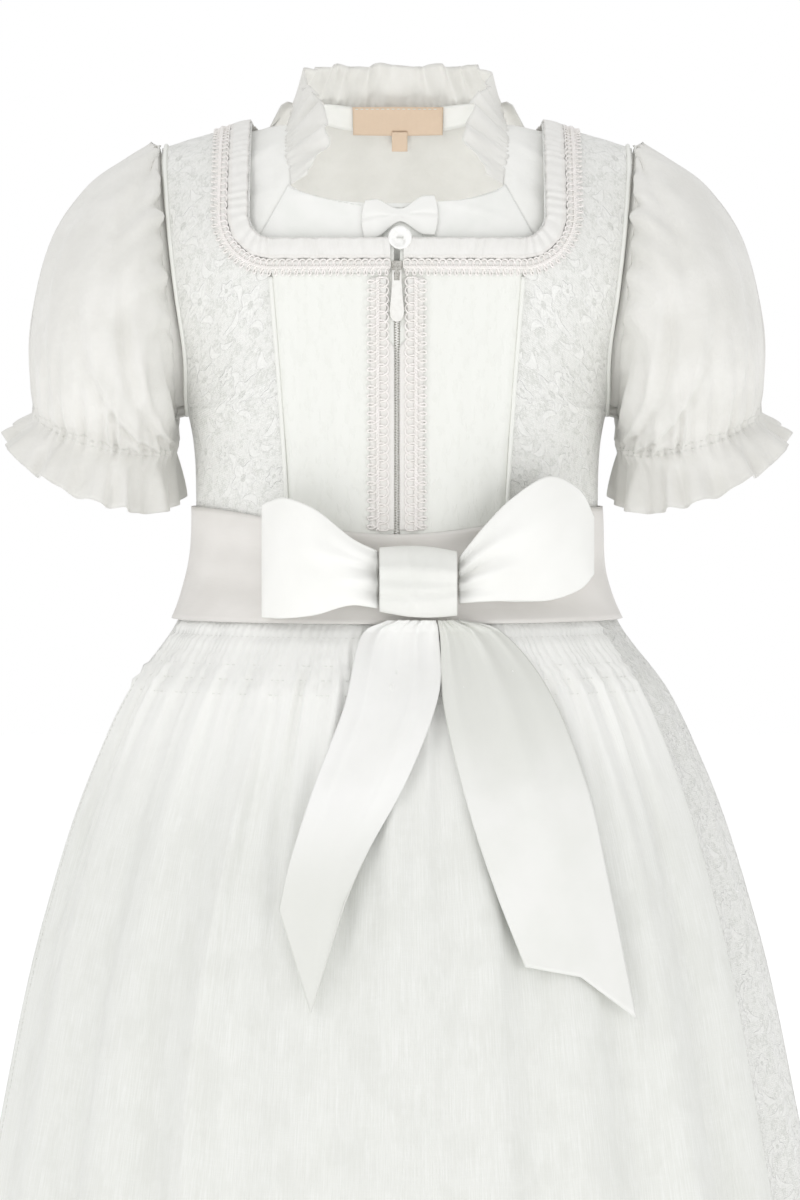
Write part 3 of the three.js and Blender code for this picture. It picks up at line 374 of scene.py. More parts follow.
def skirt_lift(turn, z, lift):
    d = 0.012
    point = skirt(turn, z)
    out = outward(skirt(turn + d, z) - skirt(turn - d, z), skirt(turn, z + 2) - skirt(turn, z - 2),
                  point * (1, 1, 0))
    return point + out * scaled(lift)


# Meshes

def object_from(name, bm, material):
    mesh = bpy.data.meshes.new(name)
    bm.to_mesh(mesh)
    bm.free()
    mesh.shade_smooth()
    piece = bpy.data.objects.new(name, mesh)
    bpy.context.collection.objects.link(piece)
    mesh.materials.append(material)
    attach(piece, "dress")
    return piece


# What each sheet of cloth says of itself, under its name
SHEETS = {}
LEAST_FLAT, LEAST_SHARE, GATHERED_SHARE = 0.011, 0.31, 1.25


def cover(name):
    """Takes the place of the node of that name, where there is one."""
    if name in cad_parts:
        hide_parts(name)


def cloth(name, place, wide, high, material, lift=WALL, thick=0.8, ring=False,
          held="stretched", spread=None):
    """A thin shell on a grid. place(u, v, lift) gives its points; u runs across and v down."""
    gathered = held == "gathered"
    bm = bmesh.new()
    bmesh.ops.create_grid(bm, x_segments=wide, y_segments=high, size=0.5)
    flat = np.array([v.co[:] for v in bm.verts])
    u = (flat[:, 0] - flat[:, 0].min()) / np.ptp(flat[:, 0])
    v = (flat[:, 1] - flat[:, 1].min()) / np.ptp(flat[:, 1])
    across, down = len(np.unique(u.round(5))), len(np.unique(v.round(5)))
    order = (v * (down - 1)).round().astype(int), (u * (across - 1)).round().astype(int)
    grid_u, grid_v = np.meshgrid(np.linspace(0, 1, across), np.linspace(0, 1, down))
    if spread:
        grid_v = spread(grid_v)
    points = place(grid_u, grid_v, np.full(grid_u.shape, float(lift)))
    away = place(grid_u, grid_v, np.full(grid_u.shape, lift + 0.5)) - points
    # The cloth's own map is the cloth laid flat, in metres
    step_u = np.linalg.norm(np.diff(points, axis=1), axis=-1)
    step_v = np.linalg.norm(np.diff(points, axis=0), axis=-1)
    length_u, length_v = step_u.sum(1), step_v.sum(0)
    along_u = np.concatenate([np.zeros((down, 1)), step_u.cumsum(1)], 1)
    along_u -= along_u[:, across // 2][:, None]
    if gathered:
        along_u = (grid_u - 0.5) * length_u.max()
    along_v = np.concatenate([np.zeros((1, across)), step_v.cumsum(0)], 0)
    area = 0.25 * ((step_u[:-1] + step_u[1:]) * (step_v[:, :-1] + step_v[:, 1:])).sum()
    place_at = points[order] * MM
    layer = bm.loops.layers.uv.new("cloth")
    map_u, map_v = along_u[order] * MM, along_v[order] * MM
    bm.verts.ensure_lookup_table()
    for i, vert in enumerate(bm.verts):
        vert.co = place_at[i]
    for face in bm.faces:
        for loop in face.loops:
            i = loop.vert.index
            loop[layer].uv = map_u[i], map_v[i]
    bm.normal_update()
    normals = np.array([v.normal[:] for v in bm.verts])
    if (normals * away[order]).sum() < 0:
        bmesh.ops.reverse_faces(bm, faces=bm.faces)
    if ring:
        bmesh.ops.remove_doubles(bm, verts=[v for v in bm.verts if v.is_boundary], dist=1e-6)
    piece = object_from(name + "_cloth", bm, material)
    shell = piece.modifiers.new("shell", "SOLIDIFY")
    shell.thickness = thick * MM
    shell.offset = -1
    cover(name)
    wide, long = length_u.max() * MM, length_v.max() * MM
    share = area * MM * MM / (wide * long) * (GATHERED_SHARE if gathered else 1)
    SHEETS[name] = {"piece": piece, "flat": (max(wide, LEAST_FLAT), max(long, LEAST_FLAT)),
                    "held": held, "with": [],
                    "area": None if share > 0.999 else max(share, LEAST_SHARE) * wide * long}


def tube(name, paths, radius, material, on, sides=1):
    """Round cords along paths of points, as one mesh that belongs to a sheet."""
    lines = bpy.data.curves.new(name, "CURVE")
    lines.dimensions = "3D"
    lines.bevel_depth = radius * MM
    lines.bevel_resolution = sides
    lines.use_fill_caps = True
    for path in paths:
        spline = lines.splines.new("POLY")
        spline.points.add(len(path) - 1)
        weights = np.ones((len(path), 1))
        spline.points.foreach_set("co", np.concatenate([path * MM, weights], 1).ravel())
    holder = bpy.data.objects.new(name + "_line", lines)
    bpy.context.collection.objects.link(holder)
    bpy.context.view_layer.update()
    shown = holder.evaluated_get(bpy.context.evaluated_depsgraph_get())
    mesh = bpy.data.meshes.new_from_object(shown)
    bpy.data.objects.remove(holder)
    bpy.data.curves.remove(lines)
    bm = bmesh.new()
    bm.from_mesh(mesh)
    bpy.data.meshes.remove(mesh)
    bmesh.ops.remove_doubles(bm, verts=bm.verts, dist=1e-6)
    bmesh.ops.recalc_face_normals(bm, faces=bm.faces)
    piece = object_from(name + "_cord", bm, material)
    cover(name)
    SHEETS[on]["with"].append(piece)


def lengths(path):
    """The length of a path of points up to each point."""
    legs = np.linalg.norm(np.diff(path, axis=0), axis=1)
    return np.concatenate([[0], legs.cumsum()])


def stitches(name, paths, on, long=2.4, gap=1.0, wide=0.32):
    """Rows of short threads along paths of points, each a slim bead let into the cloth."""
    bm = bmesh.new()
    for path in paths:
        reach = lengths(path)
        for start in np.arange(0.4, reach[-1] - long, long + gap):
            ends = [np.array([np.interp(s, reach, path[:, k]) for k in range(3)])
                    for s in (start, start + long)]
            middle, aim = Vector((ends[0] + ends[1]) / 2 * MM), Vector(ends[1] - ends[0])
            turn = aim.to_track_quat("Z", "Y").to_matrix().to_4x4()
            size = Matrix.Diagonal((wide * MM, wide * MM, long * MM * 0.55, 1))
            bmesh.ops.create_icosphere(bm, subdivisions=1, radius=1,
                                       matrix=Matrix.Translation(middle) @ turn @ size)
    piece = object_from(name, bm, THREAD)
    SHEETS[on]["with"].append(piece)


# Shader sockets that take Python's own operators

class Value:
    def __init__(self, shader, socket):
        self.shader, self.socket = shader, socket

    def math(self, operation, *others):
        values = dict(enumerate((self, *others)))
        return self.shader.node("ShaderNodeMath", {"operation": operation}, values)

    def __add__(self, other): return self.math("ADD", other)
    def __radd__(self, other): return self.math("ADD", other)
    def __sub__(self, other): return self.math("SUBTRACT", other)
    def __rsub__(self, other): return (self * -1).math("ADD", other)
    def __mul__(self, other): return self.math("MULTIPLY", other)
    def __rmul__(self, other): return self.math("MULTIPLY", other)
    def __truediv__(self, other): return self.math("DIVIDE", other)
    def __pow__(self, other): return self.math("POWER", other)
    def __abs__(self): return self.math("ABSOLUTE")
    def __mod__(self, other): return self.math("FLOORED_MODULO", other)

    def sin(self): return self.math("SINE")
    def cos(self): return self.math("COSINE")
    def floor(self): return self.math("FLOOR")
    def most(self, other): return self.math("MAXIMUM", other)

    def step(self, low, high):
        """0 below low, 1 above high and eased between them."""
        settings = {"interpolation_type": "SMOOTHSTEP"}
        return self.shader.node("ShaderNodeMapRange", settings, {0: self, 1: low, 2: high})


def linear(*levels):
    """The colour of a picture's red, green and blue levels, as Blender takes it."""
    shares = [level / 255 for level in levels]
    return *(c / 12.92 if c <= 0.04045 else ((c + 0.055) / 1.055) ** 2.4 for c in shares), 1


class Shader:
    def __init__(self, name):
        self.material = bpy.data.materials.new(name)
        self.material.use_nodes = True
        self.tree = self.material.node_tree
        self.tree.nodes.clear()
        self.out = self.tree.nodes.new("ShaderNodeOutputMaterial")

    def put(self, socket, value):
        """Links a value to a socket or sets it; a tuple of three numbers is a colour."""
        if isinstance(value, Value):
            value = value.socket
        if isinstance(value, tuple) and len(value) == 3:
            value = linear(*value)
        if isinstance(value, bpy.types.NodeSocket):
            self.tree.links.new(value, socket)
        else:
            socket.default_value = value

    def node(self, kind, settings=None, values=None, out=0):
        made = self.tree.nodes.new(kind)
        for key, value in (settings or {}).items():
            setattr(made, key, value)
        for key, value in (values or {}).items():
            self.put(made.inputs[key], value)
        return Value(self, made.outputs[out])

    def split(self, place, count):
        parts = self.tree.nodes.new("ShaderNodeSeparateXYZ")
        self.put(parts.inputs[0], place)
        return tuple(Value(self, parts.outputs[i]) * PER_METRE for i in range(count))

    def flat(self):
        """The cloth's own map, in millimetres."""
        return self.split(self.node("ShaderNodeUVMap", {"uv_map": "cloth"}), 2)

    def solid(self):
        """The place in the garment, in millimetres."""
        return self.split(self.node("ShaderNodeTexCoord", out="Object"), 3)

    def vector(self, x, y=0.0, z=0.0):
        return self.node("ShaderNodeCombineXYZ", None, {0: x, 1: y, 2: z})

    def noise(self, place, scale=1.0, detail=2.0, rough=0.5):
        return self.node("ShaderNodeTexNoise", None, {
            "Vector": self.vector(*place), "Scale": scale, "Detail": detail, "Roughness": rough})

    def speck(self, u, v, size):
        cell = self.vector((u / size).floor(), (v / size).floor())
        settings = {"noise_dimensions": "2D"}
        return self.node("ShaderNodeTexWhiteNoise", settings, {"Vector": cell}, "Value")

    def tint(self, share, first, second):
        made = self.tree.nodes.new("ShaderNodeMix")
        made.data_type = "RGBA"
        self.put(made.inputs[0], share)
        self.put(made.inputs[6], first)
        self.put(made.inputs[7], second)
        return Value(self, made.outputs[2])

    def relief(self, height, depth):
        """height is in units of depth, and depth in millimetres."""
        return self.node("ShaderNodeBump", None, {"Strength": 1.0, "Distance": depth * MM,
                                                  "Height": height}, "Normal")

    def finish(self, color, rough, normal=None, sheen=None, **constant):
        """sheen is its weight and roughness."""
        surface = self.tree.nodes.new("ShaderNodeBsdfPrincipled")
        self.put(surface.inputs["Base Color"], color)
        self.put(surface.inputs["Roughness"], rough)
        if normal is not None:
            self.put(surface.inputs["Normal"], normal)
        if sheen:
            constant.update(Sheen_Weight=sheen[0], Sheen_Roughness=sheen[1])
        for key, value in constant.items():
            surface.inputs[key.replace("_", " ")].default_value = value
        self.tree.links.new(surface.outputs[0], self.out.inputs[0])
        return self.material


def plain_weave(u, v, pitch):
    """Over and under threads, from 0 to 1."""
    return ((u * (math.pi / pitch)).sin() * (v * (math.pi / pitch)).sin() + 1) * 0.5


def ripple(at, pitch):
    """A wave from 0 to 1."""
    return ((at * (TURN / pitch)).sin() + 1) * 0.5


def brocade():
    s = Shader("white_brocade")
    u, v = s.flat()
    bend = s.noise((u, v), 0.05, 1.0)
    wide, high = 33.0, 44.0
    mu = u + (bend - 0.5) * 6
    column = (mu / wide).floor()
    down = v + (column % 2.0) * (high / 2)
    x = mu - (column + 0.5) * wide
    y = down - ((down / high).floor() + 0.5) * high

    def flower(cx, cy, size, petals, spin):
        dx, dy = x - cx, y - cy
        far = (dx * dx + dy * dy).math("SQRT")
        angle = dy.math("ARCTAN2", dx)
        edge = (angle * petals + spin).sin() * (size * 0.22) + size
        petal = 1 - (far / edge).step(0.86, 1.0)
        heart = 1 - far.step(size * 0.22, size * 0.32)
        line = (1 - abs(far / edge - 0.93) * 9).most(0.0)
        vein = (abs((angle * petals + spin).cos()) * -1 + 1) * petal
        return petal, heart, line, vein

    def leaf(cx, cy, long, slim, lean):
        dx, dy = x - cx, y - cy
        a = dx * math.cos(lean) + dy * math.sin(lean)
        b = dy * math.cos(lean) - dx * math.sin(lean)
        return 1 - ((a / long) ** 2 + ((b + a * a * (0.5 / long)) / slim) ** 2).step(0.7, 1.0)

    petal, heart, line, vein = flower(-4.0, 3.0, 7.6, 5.0, 0.4)
    petal2, heart2, line2, vein2 = flower(9.5, -13.0, 4.4, 5.0, 1.6)
    leaves = leaf(7.5, 6.5, 6.5, 2.3, 0.7)
    for cx, cy, long, slim, lean in ((-11.0, -8.0, 6.0, 2.1, -0.9), (2.0, -8.5, 5.5, 1.8, 1.9),
                                     (-9.0, 15.0, 5.5, 2.0, 2.4), (12.5, 15.0, 5.0, 1.7, -0.4)):
        leaves = leaves.most(leaf(cx, cy, long, slim, lean))
    figure = petal.most(petal2).most(leaves)
    outline = line.most(line2)
    centres = heart.most(heart2)
    scroll = s.noise((u, v * 0.8), 0.16, 3.0, 0.6).step(0.5, 0.56)
    grain = s.speck(u, v, 0.55)
    coarse = s.speck(u + 3.1, v, 1.15)
    ribs = ripple(v, 1.1)
    raised = figure * 0.7 + outline * 0.5 + scroll * 0.25 + ribs * (1 - figure) * 0.18 + grain * 0.2
    dark = (grain * 0.55 + coarse * 0.6) * (1 - figure * 0.7) * (0.55 + scroll * 0.6)
    shade = s.tint(dark, (247, 247, 244), (224, 225, 220))
    silver = s.tint(centres.most(vein.most(vein2) * 0.45) * (0.35 + grain * 0.65), shade,
                    (210, 211, 206))
    color = s.tint(outline * 0.7, silver, (251, 251, 249))
    rough = 0.62 - figure * 0.18 - coarse * 0.16
    return s.finish(color, rough, s.relief(raised, 0.45), sheen=(0.25, 0.45),
                    Specular_IOR_Level=0.55)


def centre_satin():
    s = Shader("striped_satin")
    u, v = s.flat()
    stripe = ((u * (TURN / 13.0)).sin()).step(-0.35, 0.35)
    sprig = s.noise((u * 1.6, v * 0.55), 0.16, 3.0, 0.6).step(0.52, 0.6)
    twill = ripple(u + v * 0.6, 0.8)
    wear = s.noise((u, v), 0.03, 2.0)
    shade = s.tint(stripe * 0.12 + sprig * 0.3, (241, 242, 237), (234, 235, 229))
    raised = stripe * 0.05 + sprig * 0.4 + twill * 0.12
    rough = 0.52 - stripe * 0.02 + wear * 0.1
    return s.finish(shade, rough, s.relief(raised, 0.2), sheen=(0.2, 0.4))


def batiste(name, dark, light):
    s = Shader(name)
    u, v = s.flat()
    x, y, z = s.solid()
    weave = plain_weave(u, v, 0.45)
    crumple = s.noise((x, y, z), 0.035, 5.0, 0.55)
    slub = s.noise((u * 1.2, v * 0.06), 1.0, 2.0)
    # Painted shade: the colour follows the crumple's relief, darker in its hollows and lighter on
    # its rises
    shade = s.tint(crumple.step(0.35, 0.68) * 0.7, dark, light)
    raised = weave * 0.1 + crumple * 5.5 + slub * 0.12
    return s.finish(shade, 0.78 + crumple * 0.1, s.relief(raised, 0.42), sheen=(0.3, 0.6))


def blouse_satin():
    s = Shader("smooth_cotton")
    u, v = s.flat()
    weave = ripple(u + v, 0.7)
    cloud = s.noise((u, v), 0.05, 3.0)
    shade = s.tint(cloud.step(0.3, 0.7), (243, 244, 240), (249, 249, 246))
    return s.finish(shade, 0.5 + cloud * 0.12, s.relief(weave * 0.12 + cloud * 1.6, 0.3),
                    sheen=(0.2, 0.4))


def ribbon_satin(name, light, dark, gloss, turned=None):
    """turned gives the two heights between which painted shade darkens the satin."""
    s = Shader(name)
    u, v = s.flat()
    z = s.solid()[2]
    thread = s.noise((u * 0.12, v * 4.0), 1.0, 2.0)
    cloud = s.noise((u, v), 0.02, 3.0)
    shade = s.tint(cloud.step(0.35, 0.65) * 0.6 + thread * 0.3, light, dark)
    if turned:
        # Painted shade: the satin darkens from the first height to the second
        share = ((z + cloud * 30 - turned[0]) / (turned[1] - turned[0])).step(0.0, 1.0)
        shade = s.tint(share * 0.85, shade, (228, 229, 223))
    rough = gloss + thread * 0.12 + cloud * 0.05
    return s.finish(shade, rough, s.relief(thread * 0.25 + cloud * 1.2, 0.3), sheen=(0.15, 0.35),
                    Specular_IOR_Level=0.6)


def apron_cloth():
    s = Shader("slub_apron")
    u, v = s.flat()
    weave = plain_weave(u, v, 0.5)
    slub = s.noise((u * 1.4, v * 0.035), 1.0, 4.0, 0.65)
    fine = s.noise((u * 3.5, v * 0.12), 1.0, 2.0, 0.6)
    cross = s.noise((u * 0.05, v * 2.0), 1.0, 2.0, 0.5)
    under = s.noise((u, v * 0.7), 0.045, 3.0, 0.6)
    thick = slub.step(0.42, 0.66) * 0.55 + fine.step(0.4, 0.7) * 0.3 + cross.step(0.45, 0.7) * 0.15
    shade = s.tint(thick, (233, 234, 229), (245, 246, 243))
    deep = s.tint(under.step(0.45, 0.62) * 0.28, shade, (224, 225, 219))
    # Painted light: the apron is painted lighter towards its top, under the sash, where it lies in
    # shadow
    z = s.solid()[2]
    lit = s.tint(((z + 390) / 110).step(0.0, 1.0) * 0.85, deep, (255, 255, 252))
    raised = weave * 0.1 + slub * 0.9 + fine * 0.35
    return s.finish(lit, 0.74 - slub * 0.12, s.relief(raised, 0.24), sheen=(0.25, 0.5))


def braid():
    s = Shader("looped_braid")
    x, y, z = s.solid()
    twist = ripple(x + z * 1.3 + y * 0.4, 0.9)
    tone = s.noise((x, y, z), 0.12, 2.0)
    fluff = s.noise((x, y, z), 1.6, 2.0)
    shade = s.tint(tone.step(0.35, 0.65), (255, 251, 249), (251, 248, 244))
    # Painted shade in the grooves of the twist, where its relief is low; the fluff adds tone at
    # random
    deep = s.tint((1 - twist) * 0.3 + fluff * 0.15, shade, (246, 242, 238))
    return s.finish(deep, 0.7, s.relief(twist * 0.6 + fluff * 0.5, 0.13), sheen=(0.3, 0.5))


def ruched_ribbon():
    s = Shader("ruched_ribbon")
    u, v = s.flat()
    weave = plain_weave(u, v, 0.5)
    tone = s.noise((u, v), 0.15, 3.0)
    edge = (1 - v.step(0.5, 1.2)).most(v.step(8.6, 9.4))
    shade = s.tint(tone.step(0.3, 0.7) * 0.6, (240, 239, 236), (233, 232, 228))
    deep = s.tint(edge * 0.35, shade, (230, 226, 221))
    return s.finish(deep, 0.6, s.relief(weave * 0.15 + edge * 0.5 + tone, 0.25), sheen=(0.25, 0.45))


def zip_cloth():
    s = Shader("zip_tape_weave")
    x, _, z = s.solid()
    rib = ripple(x, 0.9)
    pick = ripple(z, 0.7)
    shade = s.tint(rib * 0.4 + pick * 0.3, (250, 249, 242), (234, 230, 216))
    return s.finish(shade, 0.75, s.relief(rib * 0.6 + pick * 0.4, 0.15), sheen=(0.15, 0.5))


def label_ribbon():
    s = Shader("label_weave")
    u, v = s.flat()
    rib = ripple(v, 0.55)
    pick = ripple(u, 0.7)
    tone = s.noise((u, v), 0.35, 3.0)
    shade = s.tint(rib * 0.35 + pick * 0.2 + tone * 0.35, (240, 217, 193), (224, 199, 174))
    return s.finish(shade, 0.6, s.relief(rib * 0.6 + pick * 0.4, 0.14), sheen=(0.15, 0.4))


def enamel(name, base, dark, rough):
    s = Shader(name)
    x, y, z = s.solid()
    cloud = s.noise((x, y, z), 0.5, 3.0)
    fine = s.noise((x, y, z), 3.0, 2.0)
    shade = s.tint(cloud.step(0.4, 0.7) * 0.5, base, dark)
    return s.finish(shade, rough + fine * 0.12, s.relief(fine, 0.03), Coat_Weight=0.4,
                    Coat_Roughness=0.15)


def polished_metal():
    s = Shader("slider_metal")
    x, y, z = s.solid()
    brush = s.noise((x * 4, y, z * 0.6), 1.0, 3.0)
    worn = s.noise((x, y, z), 0.9, 2.0)
    shade = s.tint(worn.step(0.4, 0.65), (222, 220, 214), (190, 187, 180))
    return s.finish(shade, 0.22 + brush * 0.2, s.relief(brush, 0.03), Metallic=1.0)


def thread():
    s = Shader("white_thread")
    x, y, z = s.solid()
    twist = ripple(x + y + z, 0.5)
    shade = s.tint(twist * 0.6, (246, 246, 242), (222, 223, 217))
    return s.finish(shade, 0.6, s.relief(twist, 0.08), sheen=(0.2, 0.4))


BROCADE, CENTRE = brocade(), centre_satin()
BATISTE = batiste("thin_cotton", (229, 228, 223), (239, 238, 234))
# Painted light: a lighter copy of the thin cotton for the blouse's sides
LIGHTENED_YOKE_BATISTE = batiste("yoke_cotton_painted_light", (244, 244, 240), (250, 250, 247))
# Painted light: a lighter copy of the thin cotton for the neck ruffle, to make up for the shade at
# the neck
LIGHTENED_FRILL_BATISTE = batiste("frill_cotton_painted_light", (233, 232, 227), (243, 242, 238))
BLOUSE_SATIN, APRON = blouse_satin(), apron_cloth()
SATIN = ribbon_satin("bow_satin", (250, 250, 247), (243, 243, 239), 0.3)
# Painted shade: the knot is a darker copy of the bow's satin
SHADED_KNOT_SATIN = ribbon_satin("knot_satin_painted_shade", (240, 240, 236), (230, 231, 226), 0.32)
# Painted shade: the tails are copies of the bow's satin, the right one darker all over, each
# darkened between its two heights
SHADED_TAIL_SATIN_LEFT = ribbon_satin("left_tail_satin_painted_shade", (250, 250, 248), (243, 243, 240), 0.3,
                               (-330, -390))
SHADED_TAIL_SATIN_RIGHT = ribbon_satin("right_tail_satin_painted_shade", (246, 246, 243), (238, 239, 234), 0.32,
                                (-350, -290))
# Painted shade: the sash is a darker, greyer copy of the bow's satin, for its sides that turn away
# from the light
SHADED_SASH_SATIN = ribbon_satin("sash_satin", (236, 233, 229), (224, 221, 216), 0.38)
BRAID, RUCHED, ZIP_CLOTH = braid(), ruched_ribbon(), zip_cloth()
LABEL, THREAD, METAL = label_ribbon(), thread(), polished_metal()
ENAMEL = enamel("pull_enamel", (244, 243, 239), (232, 230, 225), 0.3)
PEARL = enamel("button_pearl", (250, 250, 248), (236, 236, 232), 0.22)


# Bodice

SIDES = (("left", -1), ("right", 1))


def drag(u, v, size):
    """The slight unevenness of cloth that is sewn and worn."""
    slow = sin(3.1 * u + 7 * v + 1) * sin(9 * v - 2 * u)
    return size * (slow + 0.5 * sin(13 * u + 5 * v))


def panel(hand, side, inner, top=TOP_ROW):
    """A panel down to the waist, from an inner line of turns to the outer one."""
    def place(u, v, lift):
        row = side * mix(top, WAIST_ROW, v)
        turn = hand * mix(inner(row), outer_turn(row), u)
        return torso_lift(turn, row, lift + drag(u, v, 0.35) * smooth(4 * u) * smooth(4 * (1 - u)))
    return place


for name, hand in SIDES:
    cloth(f"bodice_side_{name}", panel(hand, 1, lambda row: turn_on(front_inner, row)), 48, 120,
          BROCADE)

    def centre(u, v, lift, hand=hand):
        low_row = row_at(mix(GAP_HALF, PRINCESS["x"][0], u), NECK_Z)
        row = mix(low_row, WAIST_ROW, v)
        edge = turn_on(lambda z: princess_x(z) - SEAM / 2, row)
        turn = hand * mix(turn_at(GAP_HALF, row), edge, u)
        near = bump(u, 0.93, 0.05) * 0.7
        return torso_lift(turn, row, lift + near + drag(u, v, 0.25) * smooth(4 * u))
    cloth(f"bodice_centre_{name}", centre, 44, 90, CENTRE)

    def seam(row):
        return turn_on(lambda z: back_seam_x(z) + SEAM / 2, -abs(row))
    cloth(f"bodice_back_{name}", panel(hand, -1, seam, top=1.06), 40, 60, BROCADE)


def back_centre(u, v, lift):
    edge = 2 * u - 1
    top = np.maximum(TOP_ROW, back_neck_row(edge * SHOULDER_X))
    row = -mix(top, WAIST_ROW, v)

    def line(z):
        return back_seam_x(z) - np.where(z > BACK_SEAM["z"][0], 0, SEAM / 2)
    return torso_lift(edge * turn_on(line, row), row, lift + drag(u, v, 0.3) * smooth(5 * v))


cloth("bodice_back_centre", back_centre, 90, 66, BROCADE)

# Blouse

BLOUSE_OUT = BLOUSE_LIFT + WALL


def strip_creases(u, v):
    return 0.9 * bump(v, 0.2 + 0.3 * u, 0.03) - 0.8 * bump(v, 0.33 + 0.22 * u, 0.03)


for name, hand in SIDES:
    def place(u, v, lift, hand=hand):
        row = mix(TOP_ROW, BLOUSE_LOW_ROW, v)
        inner = turn_on(lambda z: blouse_seam_x(z) - 1.2, row)
        turn = hand * mix(inner, outer_turn(row), u)
        tucked = 0.7 * (1 - smooth(12 * u))
        crease = 1.4 * strip_creases(u, v) * smooth(6 * u) * smooth(6 * (1 - u))
        return torso_lift(turn, row, lift + crease - tucked)
    cloth(f"blouse_side_{name}", place, 40, 70, LIGHTENED_YOKE_BATISTE, lift=BLOUSE_OUT)


def blouse_front(u, v, lift):
    edge = 2 * u - 1
    top = row_at(57 * edge, mix(BLOUSE_DIP_Z, BLOUSE_CORNER_Z, edge * edge))
    row = np.where(v < 0.2, mix(top, 0.8, v / 0.2), mix(0.8, BLOUSE_LOW_ROW, (v - 0.2) / 0.8))
    turn = edge * turn_on(lambda z: blouse_seam_x(z) - SEAM, row)
    crease = 0.7 * bump(row, 0.74 + 0.06 * edge, 0.02) * smooth(3 * (1 - abs(edge)))
    return torso_lift(turn, row, lift + crease)


cloth("blouse_front", blouse_front, 90, 60, BLOUSE_SATIN, lift=BLOUSE_OUT)


def blouse_back(u, v, lift):
    edge = 2 * u - 1
    share = 1 - np.clip(abs(edge * SHOULDER_X) / BLOUSE_NECK_X, 0, 1) ** BLOUSE_ARC
    top = np.maximum(TOP_ROW, BLOUSE_BACK_ROW * share ** (1 / BLOUSE_ARC))
    row = -mix(top, BLOUSE_LOW_ROW, v)
    return torso_lift(edge * outer_turn(row), row, lift + drag(2 * u, v, 0.6) * smooth(5 * v))


cloth("blouse_back", blouse_back, 72, 40, BATISTE, lift=BLOUSE_OUT)


def neck_point(t, lift, drop=0.0):
    """The blouse's neckline, from its left front corner round the back to its right one."""
    t, lift, drop = together(t, lift, drop)
    start = row_at(BLOUSE_NECK_X, BLOUSE_CORNER_Z)
    up = np.clip(np.minimum(t, 1 - t) / NECK_SHARE, 0, 1)
    front_row = mix(start, 0.001, up)
    front_x = mix(BLOUSE_NECK_X - 3, BLOUSE_NECK_X, smooth(up * 3)) + drop
    angle = np.clip(math.pi * (t - NECK_SHARE) / (1 - 2 * NECK_SHARE), 0, math.pi)
    arc = 2 / BLOUSE_ARC
    back_x = -(BLOUSE_NECK_X + drop) * np.sign(cos(angle)) * abs(cos(angle)) ** arc
    back_row = -(BLOUSE_BACK_ROW + drop / ROW_LENGTH) * np.maximum(0.001, sin(angle)) ** arc
    in_front = (t < NECK_SHARE) | (t > 1 - NECK_SHARE)
    row = np.where(in_front, front_row, back_row)
    x = np.where(in_front, np.sign(t - 0.5) * front_x, back_x)
    return torso_lift(turn_at(x, row), row, lift)


def neck_ruffle(u, v, lift):
    base = neck_point(u, BLOUSE_OUT + SEAM)
    out = unit(neck_point(u, 1.0) - neck_point(u, 0.0) + (0, 0, 3))
    near_end = np.minimum(u, 1 - u)
    front = smooth((NECK_SHARE * 1.1 - near_end) / NECK_SHARE)
    inward = unit(stack(-base[..., 0], -base[..., 1] * (1 - front), 0))
    rise = unit(out + inward * scaled(mix(0.45, 1.6, front)))
    before, after = np.clip(u - 0.004, 0, 1), np.clip(u + 0.004, 0, 1)
    tangent = unit(neck_point(after, 0.0) - neck_point(before, 0.0))
    across = unit(np.cross(tangent, rise))
    ends = smooth(near_end / 0.05)
    width = mix(9, RUFFLE * (1 - 0.3 * bump(near_end, NECK_SHARE + 0.07, 0.11)), ends)
    phase = TURN * RUFFLE_WAVES * u + 0.9 * sin(TURN * 5 * u) + 0.5 * sin(TURN * 13 * u)
    size = 0.75 + 0.25 * sin(TURN * 7 * u + 1)
    calm = 1 - 0.5 * bump(near_end, NECK_SHARE, 0.04)
    wave = mix(0.4, 3.1, v) * cos(phase) * ends * size * calm
    fine = 0.55 * cos(TURN * 70 * u + 2 * sin(TURN * 9 * u)) * bump(v, 0.08, 0.16) * ends
    lip = 0.6 * cos(phase * 2 + 1) * smooth(v * 1.5 - 0.5)
    foot = mix(2.2, 1.4, front) * (1 - v)
    return (base + rise * scaled(width * v * (1 + 0.04 * sin(phase * 0.5)) - foot)
            + across * scaled(wave + fine + lip + lift))


cloth("neck_ruffle", neck_ruffle, 560, 12, LIGHTENED_FRILL_BATISTE, lift=1.0, thick=0.5,
      held="gathered")

BAND_LIFT = BLOUSE_LIFT - 1


def neck_band(u, v, lift):
    start = NECK_SHARE * 1.45
    return neck_point(mix(start, 1 - start, u), lift, mix(-1.8, 8, v))


cloth("neck_band", neck_band, 90, 6, BLOUSE_SATIN, lift=BAND_LIFT)


def nape_row(x, z):
    """The row behind the neck where the surface falls to a height."""
    x, z = together(x, z)
    above, below = np.full(x.shape, 0.2), np.full(x.shape, 0.9)
    for _ in range(20):
        row = (above + below) / 2
        higher = torso(turn_at(x, row), -row)[..., 2] > z
        above, below = np.where(higher, row, above), np.where(higher, below, row)
    return -above


def back_tag(centre_x, top_z, width, height, curl):
    def place(u, v, lift):
        sag = bump(u, 0.5, 0.4) * v * curl
        x = centre_x + width * (u - 0.5)
        row = nape_row(x, top_z - height * v)
        return torso_lift(turn_at(x, row), row, lift - sag)
    return place


